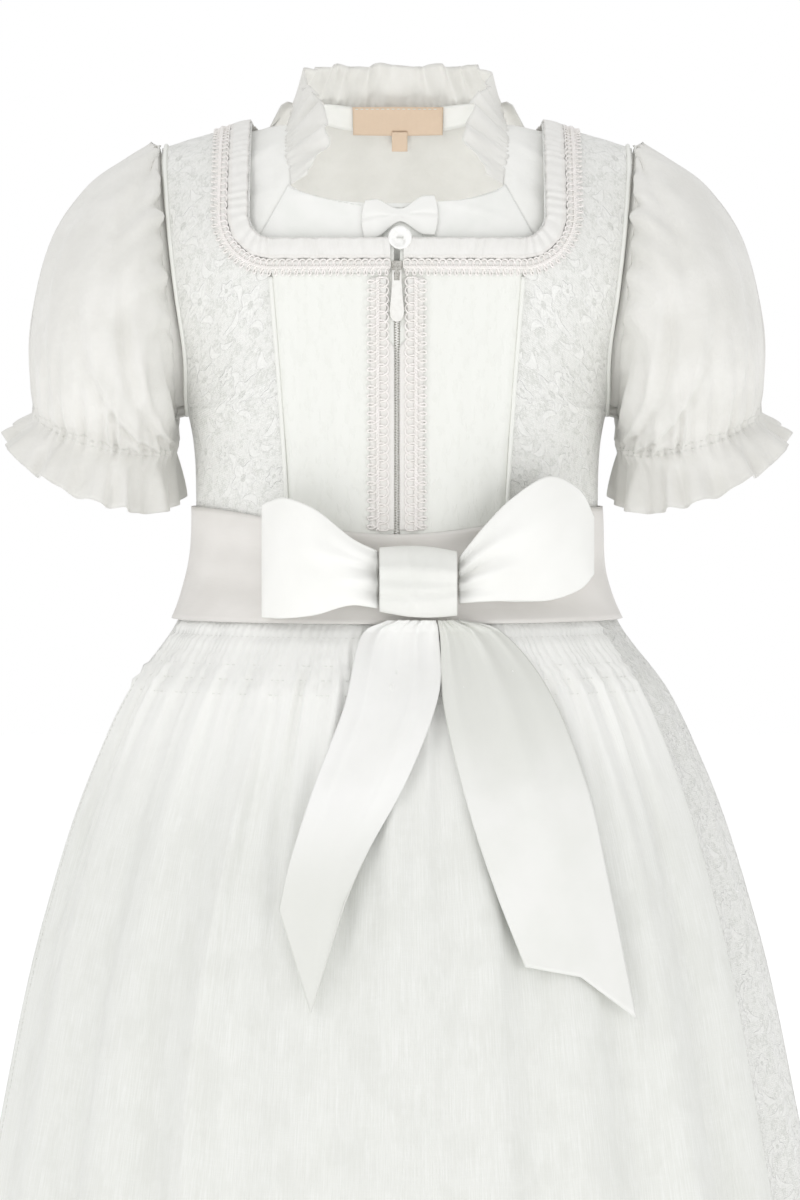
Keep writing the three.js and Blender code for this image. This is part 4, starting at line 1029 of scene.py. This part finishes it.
BAND_INSIDE = BAND_LIFT - WALL - SEAM
label = back_tag(LABEL_X, LABEL_Z, LABEL_WIDE, LABEL_HIGH, curl=0.4)
cloth("neck_label", label, 40, 14, LABEL, lift=BAND_INSIDE - 0.3, thick=0.5)
tag = back_tag(TAG_X, TAG_Z, TAG_WIDE, TAG_HIGH, curl=0.2)
cloth("size_tag", tag, 12, 12, LABEL, lift=BAND_INSIDE - 1.6, thick=0.5)


def armhole_edge(round_, lift):
    """The armhole's edge: round_ is 0 at the shoulder and pi at the underarm."""
    z = mix(shoulder_z(ARMHOLE["x"][0]), UNDERARM_Z, (1 - cos(round_)) / 2)
    row = row_at(armhole_x(z), z)
    turn = np.minimum(QUARTER, turn_at(armhole_x(z), row))
    return torso_lift(turn, np.where(sin(round_) > 0, row, -row), lift)


def armhole_point(round_, inset, lift):
    """The same moved into the bodice by an inset and off its surface by a lift."""
    edge = armhole_edge(round_, 0.0)
    along = armhole_edge(round_ + EDGE_STEP, 0.0) - armhole_edge(round_ - EDGE_STEP, 0.0)
    across = outward(along, armhole_edge(round_, 1.0) - edge,
                     edge - (SHOULDER_X + ARCH, 0, UNDERARM_Z / 2))
    return armhole_edge(round_, lift) + across * scaled(inset)


SLEEVE_CREASES = (
    # each runs between two places (share round, row) with its depth and half width
    (0.08, 1.5, 0.2, 4.6, -2.2, 0.022), (0.13, 2.2, 0.3, 5.2, -1.6, 0.02),
    (0.22, 3.4, 0.4, 6.8, -2.0, 0.024), (0.17, 5.0, 0.36, 7.4, -1.7, 0.018),
    (0.29, 2.0, 0.33, 5.8, 1.2, 0.016), (0.05, 4.2, 0.13, 7.0, -1.3, 0.02),
    (0.58, 2.4, 0.7, 6.4, -1.8, 0.024), (0.72, 1.8, 0.83, 5.6, -1.9, 0.022),
    (0.9, 1.4, 0.84, 5.4, -1.7, 0.02), (0.65, 5.0, 0.78, 7.4, -1.5, 0.018),
    (0.95, 4.4, 0.9, 7.2, -1.2, 0.02),
)


def sleeve_base(u, at):
    """The sleeve's smooth form, from the armhole through the head to the elastic and its frill."""
    round_ = TURN * u

    def s(column):
        return curve(SLEEVE, "row", at, column)
    seat = np.clip(s("seat"), 0, 1)
    top, low = (s("topX"), s("topZ")), (s("lowX"), s("lowZ"))
    middle = stack((top[0] + low[0]) / 2, 0, (top[1] + low[1]) / 2)
    reach = stack((top[0] - low[0]) / 2, 0, (top[1] - low[1]) / 2)
    side = sin(round_)
    turned = stack(0, s("depth") * side, s("dip") * side)
    free = middle + reach * scaled(cos(round_)) - turned
    share = (1 - cos(round_)) / 2
    stand = np.maximum(s("stand"), 0) * mix(0.8, 1.8, share)
    fixed = armhole_point(round_, -WALL - mix(SLEEVE_GAP, UNDERARM_GAP, share**4), stand)
    return mix(free, fixed, seat[..., None])


def sleeve_point(hand, u, v, lift):
    """The same with its gathers, creases and wavy hem."""
    last = len(SLEEVE["row"]) - 1
    at = np.clip(v * last, 0, last)
    round_ = TURN * u
    along = sleeve_base(u + 0.006, at) - sleeve_base(u - 0.006, at)
    down = sleeve_base(u, np.minimum(at + 0.3, last)) - sleeve_base(u, np.maximum(at - 0.3, 0))
    out = unit(np.cross(along, down))
    hem, elastic = smooth((at - 8.3) / 1.7), bump(at, ELASTIC_ROW, 0.55)
    wander = 0.9 * sin(3 * round_ + 1) + 0.5 * sin(7 * round_)
    over = smooth((1.1 + cos(round_)) / 1.3)
    head = smooth((at - 0.7) / 1.1) * smooth((4.8 - at) / 3.4) * over
    puffs = 0.6 + 0.4 * sin(5 * round_ + 2)
    wave = (head * (2.0 * puffs * cos(30 * round_ + 2 * wander)
                    + 1.3 * cos(17 * round_ + 1.3 * wander + 0.3 * at))
            + bump(at, 7.2, 1.2) * (1.3 * cos(23 * round_ + 2 * wander)
                                    + 0.7 * cos(41 * round_ + wander))
            + elastic * 0.9 * cos(48 * round_ + 3 * wander)
            + hem * (3.8 * cos(12 * round_ + 1.6 * wander) + 1.5 * cos(25 * round_ + wander))
            + smooth((at - 2.2) / 2) * (1 - elastic) * (1 - hem) * 1.4
            * sin(5 * round_ + 0.5 * at))
    for u0, r0, u1, r1, deep, wide in SLEEVE_CREASES:
        t = np.clip((at - r0) / (r1 - r0), 0, 1)
        across = u - mix(u0, u1, t) + 0.012 * sin(5 * t)
        fade = smooth((at - r0) / 1.0 + 0.4) * smooth((r1 - at) / 1.2 + 0.4)
        fall = bump(across, 0, wide) - 0.6 * bump(across, wide * 1.8, wide)
        wave = wave + 1.4 * deep * fall * fade
    wave = wave * smooth(at - 0.4)
    return (sleeve_base(u, at) + out * scaled(wave + lift)) * (hand, 1, 1)


for name, hand in SIDES:
    cloth(f"sleeve_{name}", partial(sleeve_point, hand), 204, 84, BATISTE, ring=True,
          held="gathered", thick=0.6)


# Skirt and apron

def skirt_half(middle):
    def place(u, v, lift):
        turn = middle + mix(-QUARTER, QUARTER, u)
        turn = turn - np.sign(u - 0.5) * (abs(u - 0.5) > 0.4999) * SEAM / 2 / SKIRT["front"][1]
        z = mix(WAIST_Z, HEM_Z, v)
        small = 1.1 * gathers(turn, z, 84, -250, -330) + 1.0 * gathers(turn, z, 48, -250, -430)
        step = turn / SKIRT_STEP
        covered = smooth((step + APRON_LEFT) / 2) * smooth((APRON_RIGHT - step) / 2)
        small = small * smooth((-244 - z) / 20) * (1 - 0.8 * covered)
        return skirt_lift(turn, z, lift + small - 0.4 - 0.5 * covered)
    return place


for name, middle in (("front", 0), ("back", math.pi)):
    cloth(f"skirt_{name}", skirt_half(middle), 290, 56, BROCADE, held="gathered",
          spread=lambda v: v ** 1.35)

APRON_FOLDS = (
    # turn, half width, depth, height where it starts, height where it is fullest
    (-1.17, 0.05, 2.6, -300, -520), (-1.0, 0.035, -2.2, -300, -440), (-0.82, 0.05, 2.4, -310, -560),
    (-0.66, 0.03, -1.8, -300, -420), (-0.52, 0.045, 2.6, -320, -600),
    (-0.37, 0.03, 1.6, -300, -470), (-0.24, 0.035, -2.4, -330, -580),
    (-0.1, 0.05, 2.2, -340, -620), (0.05, 0.03, -1.6, -300, -520),
    (0.17, 0.045, 2.4, -320, -600), (0.33, 0.03, -2.0, -300, -450), (0.46, 0.05, 2.8, -330, -580),
    (-0.5, 0.014, 2.2, -284, -330), (-0.465, 0.012, -2.6, -284, -330),
    (0.62, 0.035, -2.2, -300, -500), (0.77, 0.05, 2.2, -310, -600), (0.93, 0.03, -1.8, -300, -460),
)


def apron_relief(turn, z):
    inside = smooth((SHIRR_TOP - z) / 3) * smooth((z - SHIRR_LOW) / 4)
    down = SHIRR_TOP - z
    channel = abs(sin(math.pi * down / SHIRR_STEP))
    pucker = cos(168 * turn + 1.6 * sin(23 * turn) + 2.2 * sin(down / SHIRR_STEP))
    below = 1.2 * gathers(turn, z, 110, -290, -360) + 2.2 * gathers(turn, z, 58, -285, -470)
    below = below * smooth((-280 - z) / 16)
    for middle, wide, deep, top, full in APRON_FOLDS:
        grow = smooth((top - z) / (top - full))
        lean = middle + 0.02 * sin(z / 60)
        below = below + 1.5 * deep * bump(turn, lean, wide * mix(0.5, 1.1, grow)) * grow
    return inside * channel * (1.2 + 0.8 * pucker) + np.maximum(below, -1.4 + 0.15 * below)


def apron_turn(u):
    return mix(-APRON_LEFT * SKIRT_STEP, APRON_RIGHT * SKIRT_STEP, u)


def apron(u, v, lift):
    turn, z = apron_turn(u), mix(APRON_TOP, APRON_HEM_Z, v)
    return skirt_lift(turn, z, lift + apron_relief(turn, z))


APRON_OUT = APRON_LIFT + WALL
cloth("apron", apron, 320, 76, APRON, lift=APRON_OUT, thick=0.6, held="gathered",
      spread=lambda v: v ** 1.75)

# Sash and bow


def sash(u, v, lift):
    turn = TURN * u
    front = np.maximum(0, cos(turn)) ** 4
    z = mix(SASH_TOP - SASH_DIP * front, SASH_LOW, v)
    pull = smooth(cos(turn) * 1.2)
    pleats = pull * 1.1 * cos(TURN * (2.6 * v + 0.3 * sin(2 * turn))) * sin(math.pi * v)
    soft = 0.6 * sin(5 * turn + 4 * v) * sin(math.pi * v)
    rise = mix(2.0, 5.4, v) + lift + pleats + soft + 0.3
    half, deep = skirt_size(z, "half") + rise, skirt_depth(turn, z) + rise
    return stack(half * sin(turn), -deep * cos(turn), z)


cloth("sash", sash, 300, 22, SHADED_SASH_SATIN, ring=True, thick=0.6)


def loop(table, pleats):
    read, last = by_row(table)

    def place(u, v, lift):
        at = v * last

        def s(column, at=at):
            return read(at, column)
        d = 0.05
        dx, dy = s("x", at + d) - s("x", at - d), s("y", at + d) - s("y", at - d)
        out = unit(stack(dy, -dx, 0))
        near = np.minimum(at, last - at)
        tight = 1 - smooth(near / 2.6)
        crease = tight * 1.5 * cos(TURN * (pleats * u + 0.15 * at))
        for middle, wide, deep, reach in ((0.3, 0.05, -1.9, 3.4), (0.62, 0.06, -1.5, 3.0),
                                          (0.46, 0.09, 1.6, 4.2), (0.85, 0.05, 0.9, 2.6)):
            fade = smooth((reach - near) / reach) * smooth(near / 0.8)
            crease = crease + deep * bump(u, middle + 0.03 * near, wide * (1 + 0.4 * near)) * fade
        belly = s("bulge") * sin(math.pi * u)
        base = stack(s("x"), s("y") - belly, mix(s("top"), s("low"), u))
        return base + out * scaled(lift + crease * sin(math.pi * u) ** 0.5)
    return place


for name, table, pleats, steps in (("left", LOOP_LEFT, 2.6, 110), ("right", LOOP_RIGHT, 3.1, 116)):
    cloth(f"bow_loop_{name}", loop(table, pleats), 56, steps, SATIN, held="folded",
          thick=0.7)


KNOT_X, KNOT_Y, KNOT_Z = (-9, 31), -96, -239
KNOT_HIGH, KNOT_DEEP = 16, 8.5


def knot(u, v, lift):
    round_ = TURN * u
    swell = 1 + 0.12 * sin(math.pi * v)
    up, out = cos(round_), sin(round_)
    fold = 1.0 * bump(v, 0.3 + 0.1 * out, 0.06) - 1.1 * bump(v, 0.52 + 0.12 * up, 0.07)
    fold = fold + 0.9 * bump(v, 0.76, 0.08)
    face = smooth(out * 1.4)
    ridge = (1.3 * bump(up, 0.35, 0.16) - 1.2 * bump(up, 0.02, 0.14)
             - 1.6 * bump(up, -0.55 + 0.3 * v, 0.1))
    grow = lift - WALL + fold * face * 0.7 + ridge * face
    high, deep = (KNOT_HIGH * swell + grow) * up, (KNOT_DEEP * swell + grow) * out
    return stack(mix(*KNOT_X, v), KNOT_Y - deep, KNOT_Z + high - 2 * v)


cloth("bow_knot", knot, 72, 40, SHADED_KNOT_SATIN, lift=1.8, ring=True, held="folded")


def tail(table, creases):
    read, last = by_row(table)

    def place(u, v, lift):
        at = v * last
        s = partial(read, at)
        x = mix(s("leftX"), s("rightX"), u)
        tip = s("point") * smooth(at - (last - 1))
        z = mix(s("leftZ"), s("rightZ"), u) - tip * (1 - abs(2 * u - 1))
        level = np.minimum(z, SASH_LOW - 4)
        half, deep = skirt_size(level, "half"), skirt_size(level, "front")
        rest = skirt_size(level, "fold") + APRON_LIFT + WALL + 1.7
        crease = 0
        for middle, wide, high, reach in creases:
            spread = mix(0.5, 1.6, np.clip(at / reach, 0, 1))
            crease = crease + high * bump(u, middle, wide * spread) * smooth((reach - at) / reach)
        crease = crease + 1.5 * sin(2.2 * at + 2.6 * u) * smooth(at - 1)
        out = deep + rest + s("proud") + lift + crease
        return stack(x, -out * np.sqrt(1 - (x / half) ** 2), z)
    return place


# Each crease is its middle, half width, height and how many rows down it reaches
TAIL_LEFT_CREASES = ((0.22, 0.08, 3.2, 4.8), (0.48, 0.07, -1.3, 3.8), (0.72, 0.08, 3.4, 5.2),
                     (0.93, 0.05, 1.4, 3.4))
TAIL_RIGHT_CREASES = ((0.12, 0.07, 3.2, 4.4), (0.34, 0.08, -1.3, 4.2), (0.58, 0.1, 3.4, 5.4),
                      (0.86, 0.06, 1.8, 3.6))
for name, table, creases, steps, satin in (
        ("left", TAIL_LEFT, TAIL_LEFT_CREASES, 100, SHADED_TAIL_SATIN_LEFT),
        ("right", TAIL_RIGHT, TAIL_RIGHT_CREASES, 110, SHADED_TAIL_SATIN_RIGHT)):
    cloth(f"bow_tail_{name}", tail(table, creases), 48, steps, satin, held="hung",
          thick=0.6)


# Trims

# The lower end of the zip's pull tab, below which the grounds of the braid come closer
PULL_LOW = -114
BRAID_TOP = NECK_Z - 20.6
LINE_STEPS, LOOP_STEPS = 900, 12


def trim_point(hand, t, out, lift):
    """A point of the neckline moved out from the opening, from the centre front to the back."""
    t, out, lift = together(t, out, lift)
    side_x = NECK_X + out
    low_x = mix(TRIM_START, NECK_X - NECK_CORNER, t / TRIM_FRONT)
    bend = QUARTER * np.clip((t - TRIM_FRONT) / (TRIM_CORNER - TRIM_FRONT), 0, 1)
    radius = NECK_CORNER + out
    front_x = np.where(t < TRIM_FRONT, low_x, NECK_X - NECK_CORNER + radius * sin(bend))
    front_z = np.where(t < TRIM_FRONT, NECK_Z - out, NECK_Z + NECK_CORNER - radius * cos(bend))
    row = row_at(front_x, front_z)
    corner_top = row_at(side_x, NECK_Z + NECK_CORNER)
    up = mix(corner_top, 0, np.clip((t - TRIM_CORNER) / (TRIM_SHOULDER - TRIM_CORNER), 0, 1))
    row = np.where(t < TRIM_CORNER, row, up)
    x = np.where(t < TRIM_CORNER, front_x, side_x)
    round_ = QUARTER * np.clip((t - TRIM_SHOULDER) / (1 - TRIM_SHOULDER), 0, 1)
    back_x = side_x * np.maximum(0.003, cos(round_)) ** (2 / NECK_ARC) + SEAM / 2
    back_share = np.maximum(0.0005, sin(round_)) ** (2 / NECK_ARC)
    back_row = -(BACK_NECK_ROW + out / ROW_LENGTH) * back_share
    row = np.where(t < TRIM_SHOULDER, row, back_row)
    x = np.where(t < TRIM_SHOULDER, x, back_x)
    return torso_lift(hand * turn_at(x, row), row, lift)


def even_line(path, count):
    """Shares of t that are evenly spaced along a path of t."""
    t = np.linspace(0, 1, LINE_STEPS)
    reach = lengths(path(t))
    return np.interp(np.linspace(0, reach[-1], count), reach, t), reach[-1]


def even_trim(hand, u, out):
    """The neckline's t at an even share u of its length."""
    even, _ = even_line(lambda t: trim_point(hand, t, out, TRIM_LIFT), LINE_STEPS)
    return np.interp(u, np.linspace(0, 1, LINE_STEPS), even)


def gimp(path, pitch, inner, outer, low, high):
    """Two looped cords and a plaited line along a path: path(t, out, lift) gives points."""
    middle = (inner + outer) / 2
    cords = []
    _, long = even_line(lambda t: path(t, middle, TRIM_LIFT), 2)
    fine = int(long / pitch) * LOOP_STEPS
    even, _ = even_line(lambda t: path(t, middle, TRIM_LIFT), fine)
    k = np.arange(fine) / LOOP_STEPS
    for shift, reach_in, reach_out, swing in ((0.0, middle, outer, 0.34),
                                              (0.5, inner, middle, 0.3)):
        wave = TURN * (k + shift)
        back = swing * sin(wave) * 1.25
        t = np.clip(np.interp(k + back, k, even), 0, 1)
        out = mix(reach_in, reach_out, 0.5 - 0.5 * cos(wave))
        lift = mix(low, high, 0.5 + 0.5 * sin(wave * 2 + 0.5))
        cords.append(path(t, out, lift))
    for shift in (0, math.pi):
        wave = TURN * k * 1.5 + shift
        cords.append(path(even, middle + 0.55 * sin(wave), high + 0.25 * cos(wave)))
    return cords


def zip_side(hand, t, out, lift):
    """A point beside the zip, from the braid's top down to the zip's end."""
    return torso_at(hand * out, mix(BRAID_TOP, ZIP_END, np.asarray(t, float)), lift)


GROUND_LIFT = TRIM_LIFT + 0.35
CORD_RADIUS = 0.5
for name, hand in SIDES:
    def ruche(u, v, lift, hand=hand):
        pleat = TURN * 58 * u
        uneven = 0.6 + 0.4 * sin(TURN * 7 * u + 2) * sin(TURN * 17 * u)
        tuck = 0.6 * uneven * cos(pleat + 1.6 * sin(TURN * 9 * u) + 2.2 * (v - 0.5))
        wavy = 0.5 * cos(pleat * 0.5 + 1)
        out = mix(0.4 + 0.35 * wavy, 10.8 + 0.5 * wavy, v)
        crown = 0.5 * sin(math.pi * v)
        return trim_point(hand, even_trim(hand, u, 5.0), out,
                          lift + tuck * mix(1, 0.8, v) + crown)
    cloth(f"neck_ruche_{name}", ruche, 640, 8, RUCHED, lift=TRIM_LIFT + 1.0, thick=0.4,
          held="gathered")

    def ground(u, v, lift, hand=hand):
        return trim_point(hand, even_trim(hand, u, 15.0), mix(11.6, 18.2, v), lift)
    cloth(f"gimp_ground_{name}", ground, 300, 3, RUCHED, lift=GROUND_LIFT, thick=0.3)
    side, centre = f"bodice_side_{name}", f"bodice_centre_{name}"
    cords = gimp(partial(trim_point, hand), pitch=3.6, inner=11.2, outer=19.4,
                 low=TRIM_LIFT + 0.1, high=TRIM_LIFT + 1.0)
    tube(f"neck_gimp_{name}", cords, CORD_RADIUS, BRAID, side)

    def zip_ground(u, v, lift, hand=hand):
        inner = mix(5.2, 1.3, smooth((PULL_LOW - mix(BRAID_TOP, ZIP_END, v)) / 6))
        return zip_side(hand, v, mix(inner, 13.6, u), lift)
    cloth(f"zip_ground_{name}", zip_ground, 10, 100, RUCHED, lift=GROUND_LIFT, thick=0.3)
    cords = gimp(partial(zip_side, hand), pitch=4.4, inner=4.2, outer=15.0,
                 low=TRIM_LIFT + 0.3, high=TRIM_LIFT + 1.1)
    tube(f"zip_braid_{name}", cords, CORD_RADIUS, BRAID, centre)

    z = np.linspace(NECK_Z - 20, -208, 60)
    seam = torso_at(hand * princess_x(z), z, WALL + 0.8)
    tube(f"princess_piping_{name}", [seam], 1.15, CENTRE, centre, sides=2)
    round_ = TURN * np.linspace(0.508, 1.492, 160)
    hole = armhole_point(round_, 2.4, WALL + 0.7) * (hand, 1, 1)
    tube(f"armhole_piping_{name}", [hole], 1.1, CENTRE, side, sides=2)


# Zip

TOOTH_PITCH, TOOTH_SIZE = 1.35, (1.9, 1.1, 0.85)
bm = bmesh.new()
size = Matrix.Diagonal([side * MM for side in TOOTH_SIZE] + [1])
for i in range(int((SASH_TOP - 30 - ZIP_TOP) / -TOOTH_PITCH)):
    for hand, shift in ((-1, 0), (1, 0.5)):
        z = ZIP_TOP - 12 - TOOTH_PITCH * (i + shift)
        place = Vector(torso_at(hand * 0.55, z, -0.2) * MM)
        bmesh.ops.create_cube(bm, size=1, matrix=Matrix.Translation(place) @ size)
bmesh.ops.bevel(bm, geom=bm.edges[:], offset=0.2 * MM, affect="EDGES", segments=1, profile=0.5,
                material=-1, clamp_overlap=True)
teeth = object_from("zip_teeth", bm, ENAMEL)


def tape(u, v, lift):
    ridge = 0.5 * bump(abs(u - 0.5) * 18, 2.6, 0.4)
    return torso_at(mix(-9, 9, u), mix(ZIP_TOP, ZIP_END - 20, v), lift + ridge)


cloth("zip_chain", tape, 40, 90, ZIP_CLOTH, lift=-0.6, thick=0.6)
SHEETS["zip_chain"]["with"].append(teeth)
for node, material in (("zip_slider", METAL), ("zip_pull", ENAMEL)):
    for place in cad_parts[node].material_slots:
        place.material = material

# Button: a turned rim round a dished face, with thread through its two holes

BUTTON_X, BUTTON_Z = 1.6, -63.5
bm = bmesh.new()
# The rim's radius and height at each step, from the dished face to the back
profile = ((0, 0.9), (3.4, 0.9), (4.2, 1.6), (5.2, 2.0), (6.0, 1.5), (6.2, 0.8), (5.6, 0.1),
           (0, 0))
middle = torso_at(BUTTON_X, BUTTON_Z, TRIM_LIFT + 0.6)
verts = [bm.verts.new((r * MM, 0, -h * MM)) for r, h in profile]
edges = [bm.edges.new(pair) for pair in zip(verts, verts[1:])]
bmesh.ops.spin(bm, geom=verts + edges, cent=(0, 0, 0), axis=(0, 0, 1), angle=TURN, steps=40,
               use_merge=True)
bmesh.ops.remove_doubles(bm, verts=bm.verts, dist=1e-6)
bmesh.ops.recalc_face_normals(bm, faces=bm.faces)
turned = Matrix.Translation(Vector(middle * MM)) @ Matrix.Rotation(math.radians(-90), 4, "X")
bmesh.ops.transform(bm, matrix=turned, verts=bm.verts)
button = object_from("blouse_button", bm, PEARL)
rounding = button.modifiers.new("rounding", "SUBSURF")
rounding.levels = rounding.render_levels = 1
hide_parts("button")
arch = np.array([(1.6, -0.95, 0), (0.96, -1.3, 0), (-0.96, -1.3, 0), (-1.6, -0.95, 0)])
tube("button_thread", [middle + arch + (0, 0, side) for side in (0.35, -0.35)], 0.32, THREAD,
     "blouse_front")


# Small ribbon bow

SMALL_BOW_X, SMALL_BOW_Z, SMALL_BOW_HALF = 1.5, -51, 20


def small_bow(u, v, lift):
    edge = 2 * u - 1
    open_ = abs(edge)
    high = mix(3.4, 10.5, smooth(open_ * 1.35))
    z = SMALL_BOW_Z + high * (1 - 2 * v) - open_ * 1.2 + 1.3 * edge
    fold = 1.7 * sin(math.pi * open_) * sin(math.pi * v)
    part = bump(v, 0.46, 0.05) * smooth(open_ * 4 - 0.5)
    knot = bump(open_, 0, 0.16) * sin(math.pi * v)
    crease = 0.3 * cos(TURN * 2 * v) * (1 - smooth(open_ * 1.8))
    x = SMALL_BOW_X + SMALL_BOW_HALF * edge * (1 - 0.1 * (2 * v - 1) ** 2)
    return torso_at(x, z, lift + fold + crease + 1.3 * knot - 0.9 * part)


cloth("small_bow", small_bow, 80, 24, SATIN, lift=BLOUSE_OUT + 1.5, thick=0.6,
      held="folded")

# Stitching

line = np.linspace(0, 1, 160)
label_x = LABEL_X + (LABEL_WIDE - 2) * (line - 0.5)
label_row = nape_row(label_x, LABEL_Z - 1.2)
stitches("label_stitching", [torso_lift(turn_at(label_x, label_row), label_row,
                                        BAND_INSIDE - 0.9)],
         "neck_label", long=1.8)
edge = 2 * line - 1
top_row = row_at(56 * edge, mix(BLOUSE_DIP_Z, BLOUSE_CORNER_Z, edge * edge) - 2.2)
stitches("blouse_stitching", [torso_lift(turn_at(56 * edge, top_row), top_row, BLOUSE_OUT + 0.05)],
         "blouse_front")
rows = []
for z in np.linspace(SHIRR_TOP, SHIRR_LOW, 6):
    turn = apron_turn(np.linspace(0.005, 0.995, 500))
    rows.append(skirt_lift(turn, np.full_like(turn, z), APRON_OUT + 0.1))
stitches("shirring_stitches", rows, "apron", long=1.9, gap=1.2, wide=0.26)
seams = []
for u in (0.008, 0.992):
    v = np.linspace(0.12, 1, 500)
    seams.append(apron(np.full_like(v, u), v, APRON_OUT + 0.05))
hem = np.linspace(0, 1, 700)
seams.append(apron(hem, np.full_like(hem, 0.93), APRON_OUT + 0.05))
stitches("apron_hem_stitches", seams, "apron")
for name, hand in SIDES:
    rows = [sleeve_point(hand, np.linspace(0, 1, 300), np.full(300, at / 10), WALL + 0.1)
            for at in (7.75, 8.2)]
    stitches(f"cuff_stitches_{name}", rows, f"sleeve_{name}", long=1.8, gap=0.8)
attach(button, "dress")

# Floor, light and camera

bm = bmesh.new()
bmesh.ops.create_grid(bm, x_segments=2, y_segments=2, size=6)
floor = bpy.data.meshes.new("floor")
bm.to_mesh(floor)
bm.free()
ground = bpy.data.objects.new("floor", floor)
bpy.context.collection.objects.link(ground)
for vert in floor.vertices:
    vert.co.z = CAD_BOX[0][2] - 0.002
paper = Shader("pale_floor")
grain = paper.noise(paper.solid()[:2], 0.01, 2.0)
floor.materials.append(paper.finish(paper.tint(grain, (0.93, 0.93, 0.93, 1), (0.9, 0.9, 0.9, 1)),
                                    0.8, Emission_Color=(1, 1, 1, 1), Emission_Strength=0.42))


def area_light(name, place, aim, size, power):
    lamp = bpy.data.lights.new(name, "AREA")
    lamp.shape = "RECTANGLE"
    lamp.size, lamp.size_y = size
    lamp.energy = power
    holder = bpy.data.objects.new(name, lamp)
    bpy.context.collection.objects.link(holder)
    holder.location = place
    holder.rotation_euler = (Vector(aim) - Vector(place)).to_track_quat("-Z", "Y").to_euler()
    holder.visible_camera = False


area_light("key", (-1.6, -1.9, 1.2), (0, 0, -0.35), (1.2, 1.6), 12)
area_light("fill", (1.9, -2.3, -0.4), (0, 0, -0.4), (1.8, 1.2), 13)
area_light("top", (0, 0.6, 2.2), (0, 0, -0.3), (1.6, 1.6), 7)
# Light that comes through the thin cloth onto the inside of the back
area_light("inside", (0, -0.03, -0.12), (0, 0.08, 0.0), (0.1, 0.06), 0.088)

world = bpy.data.worlds.new("studio")
bpy.context.scene.world = world
world.use_nodes = True
nodes, links = world.node_tree.nodes, world.node_tree.links
nodes.clear()
light_path = nodes.new("ShaderNodeLightPath")
# The camera sees a white background, and the dress is lit by a dimmer one
seen, lit = nodes.new("ShaderNodeBackground"), nodes.new("ShaderNodeBackground")
for background, strength in ((seen, 1.0), (lit, 0.66)):
    background.inputs[0].default_value = 1, 1, 1, 1
    background.inputs[1].default_value = strength
both, out = nodes.new("ShaderNodeMixShader"), nodes.new("ShaderNodeOutputWorld")
links.new(light_path.outputs["Is Camera Ray"], both.inputs[0])
links.new(lit.outputs[0], both.inputs[1])
links.new(seen.outputs[0], both.inputs[2])
links.new(both.outputs[0], out.inputs[0])

DISTANCE, ELEVATION = 3.2, math.radians(2)
# The photo's scale, its height and the place at its middle, in its pixels
PIXEL, PICTURE_HEIGHT = 0.53 * MM, 1200
MIDDLE_X, MIDDLE_Z = 3, -477
aim = Vector((MIDDLE_X * PIXEL, 0, MIDDLE_Z * PIXEL))
lens = bpy.data.cameras.new("camera")
camera = bpy.data.objects.new("camera", lens)
bpy.context.collection.objects.link(camera)
camera.location = aim + DISTANCE * Vector((0, -math.cos(ELEVATION), math.sin(ELEVATION)))
camera.rotation_euler = (aim - camera.location).to_track_quat("-Z", "Y").to_euler()
lens.sensor_fit = "VERTICAL"
lens.sensor_height = 24
lens.lens = lens.sensor_height * DISTANCE / (PICTURE_HEIGHT * PIXEL)
bpy.context.scene.camera = camera
bpy.context.scene.view_settings.view_transform = "Standard"
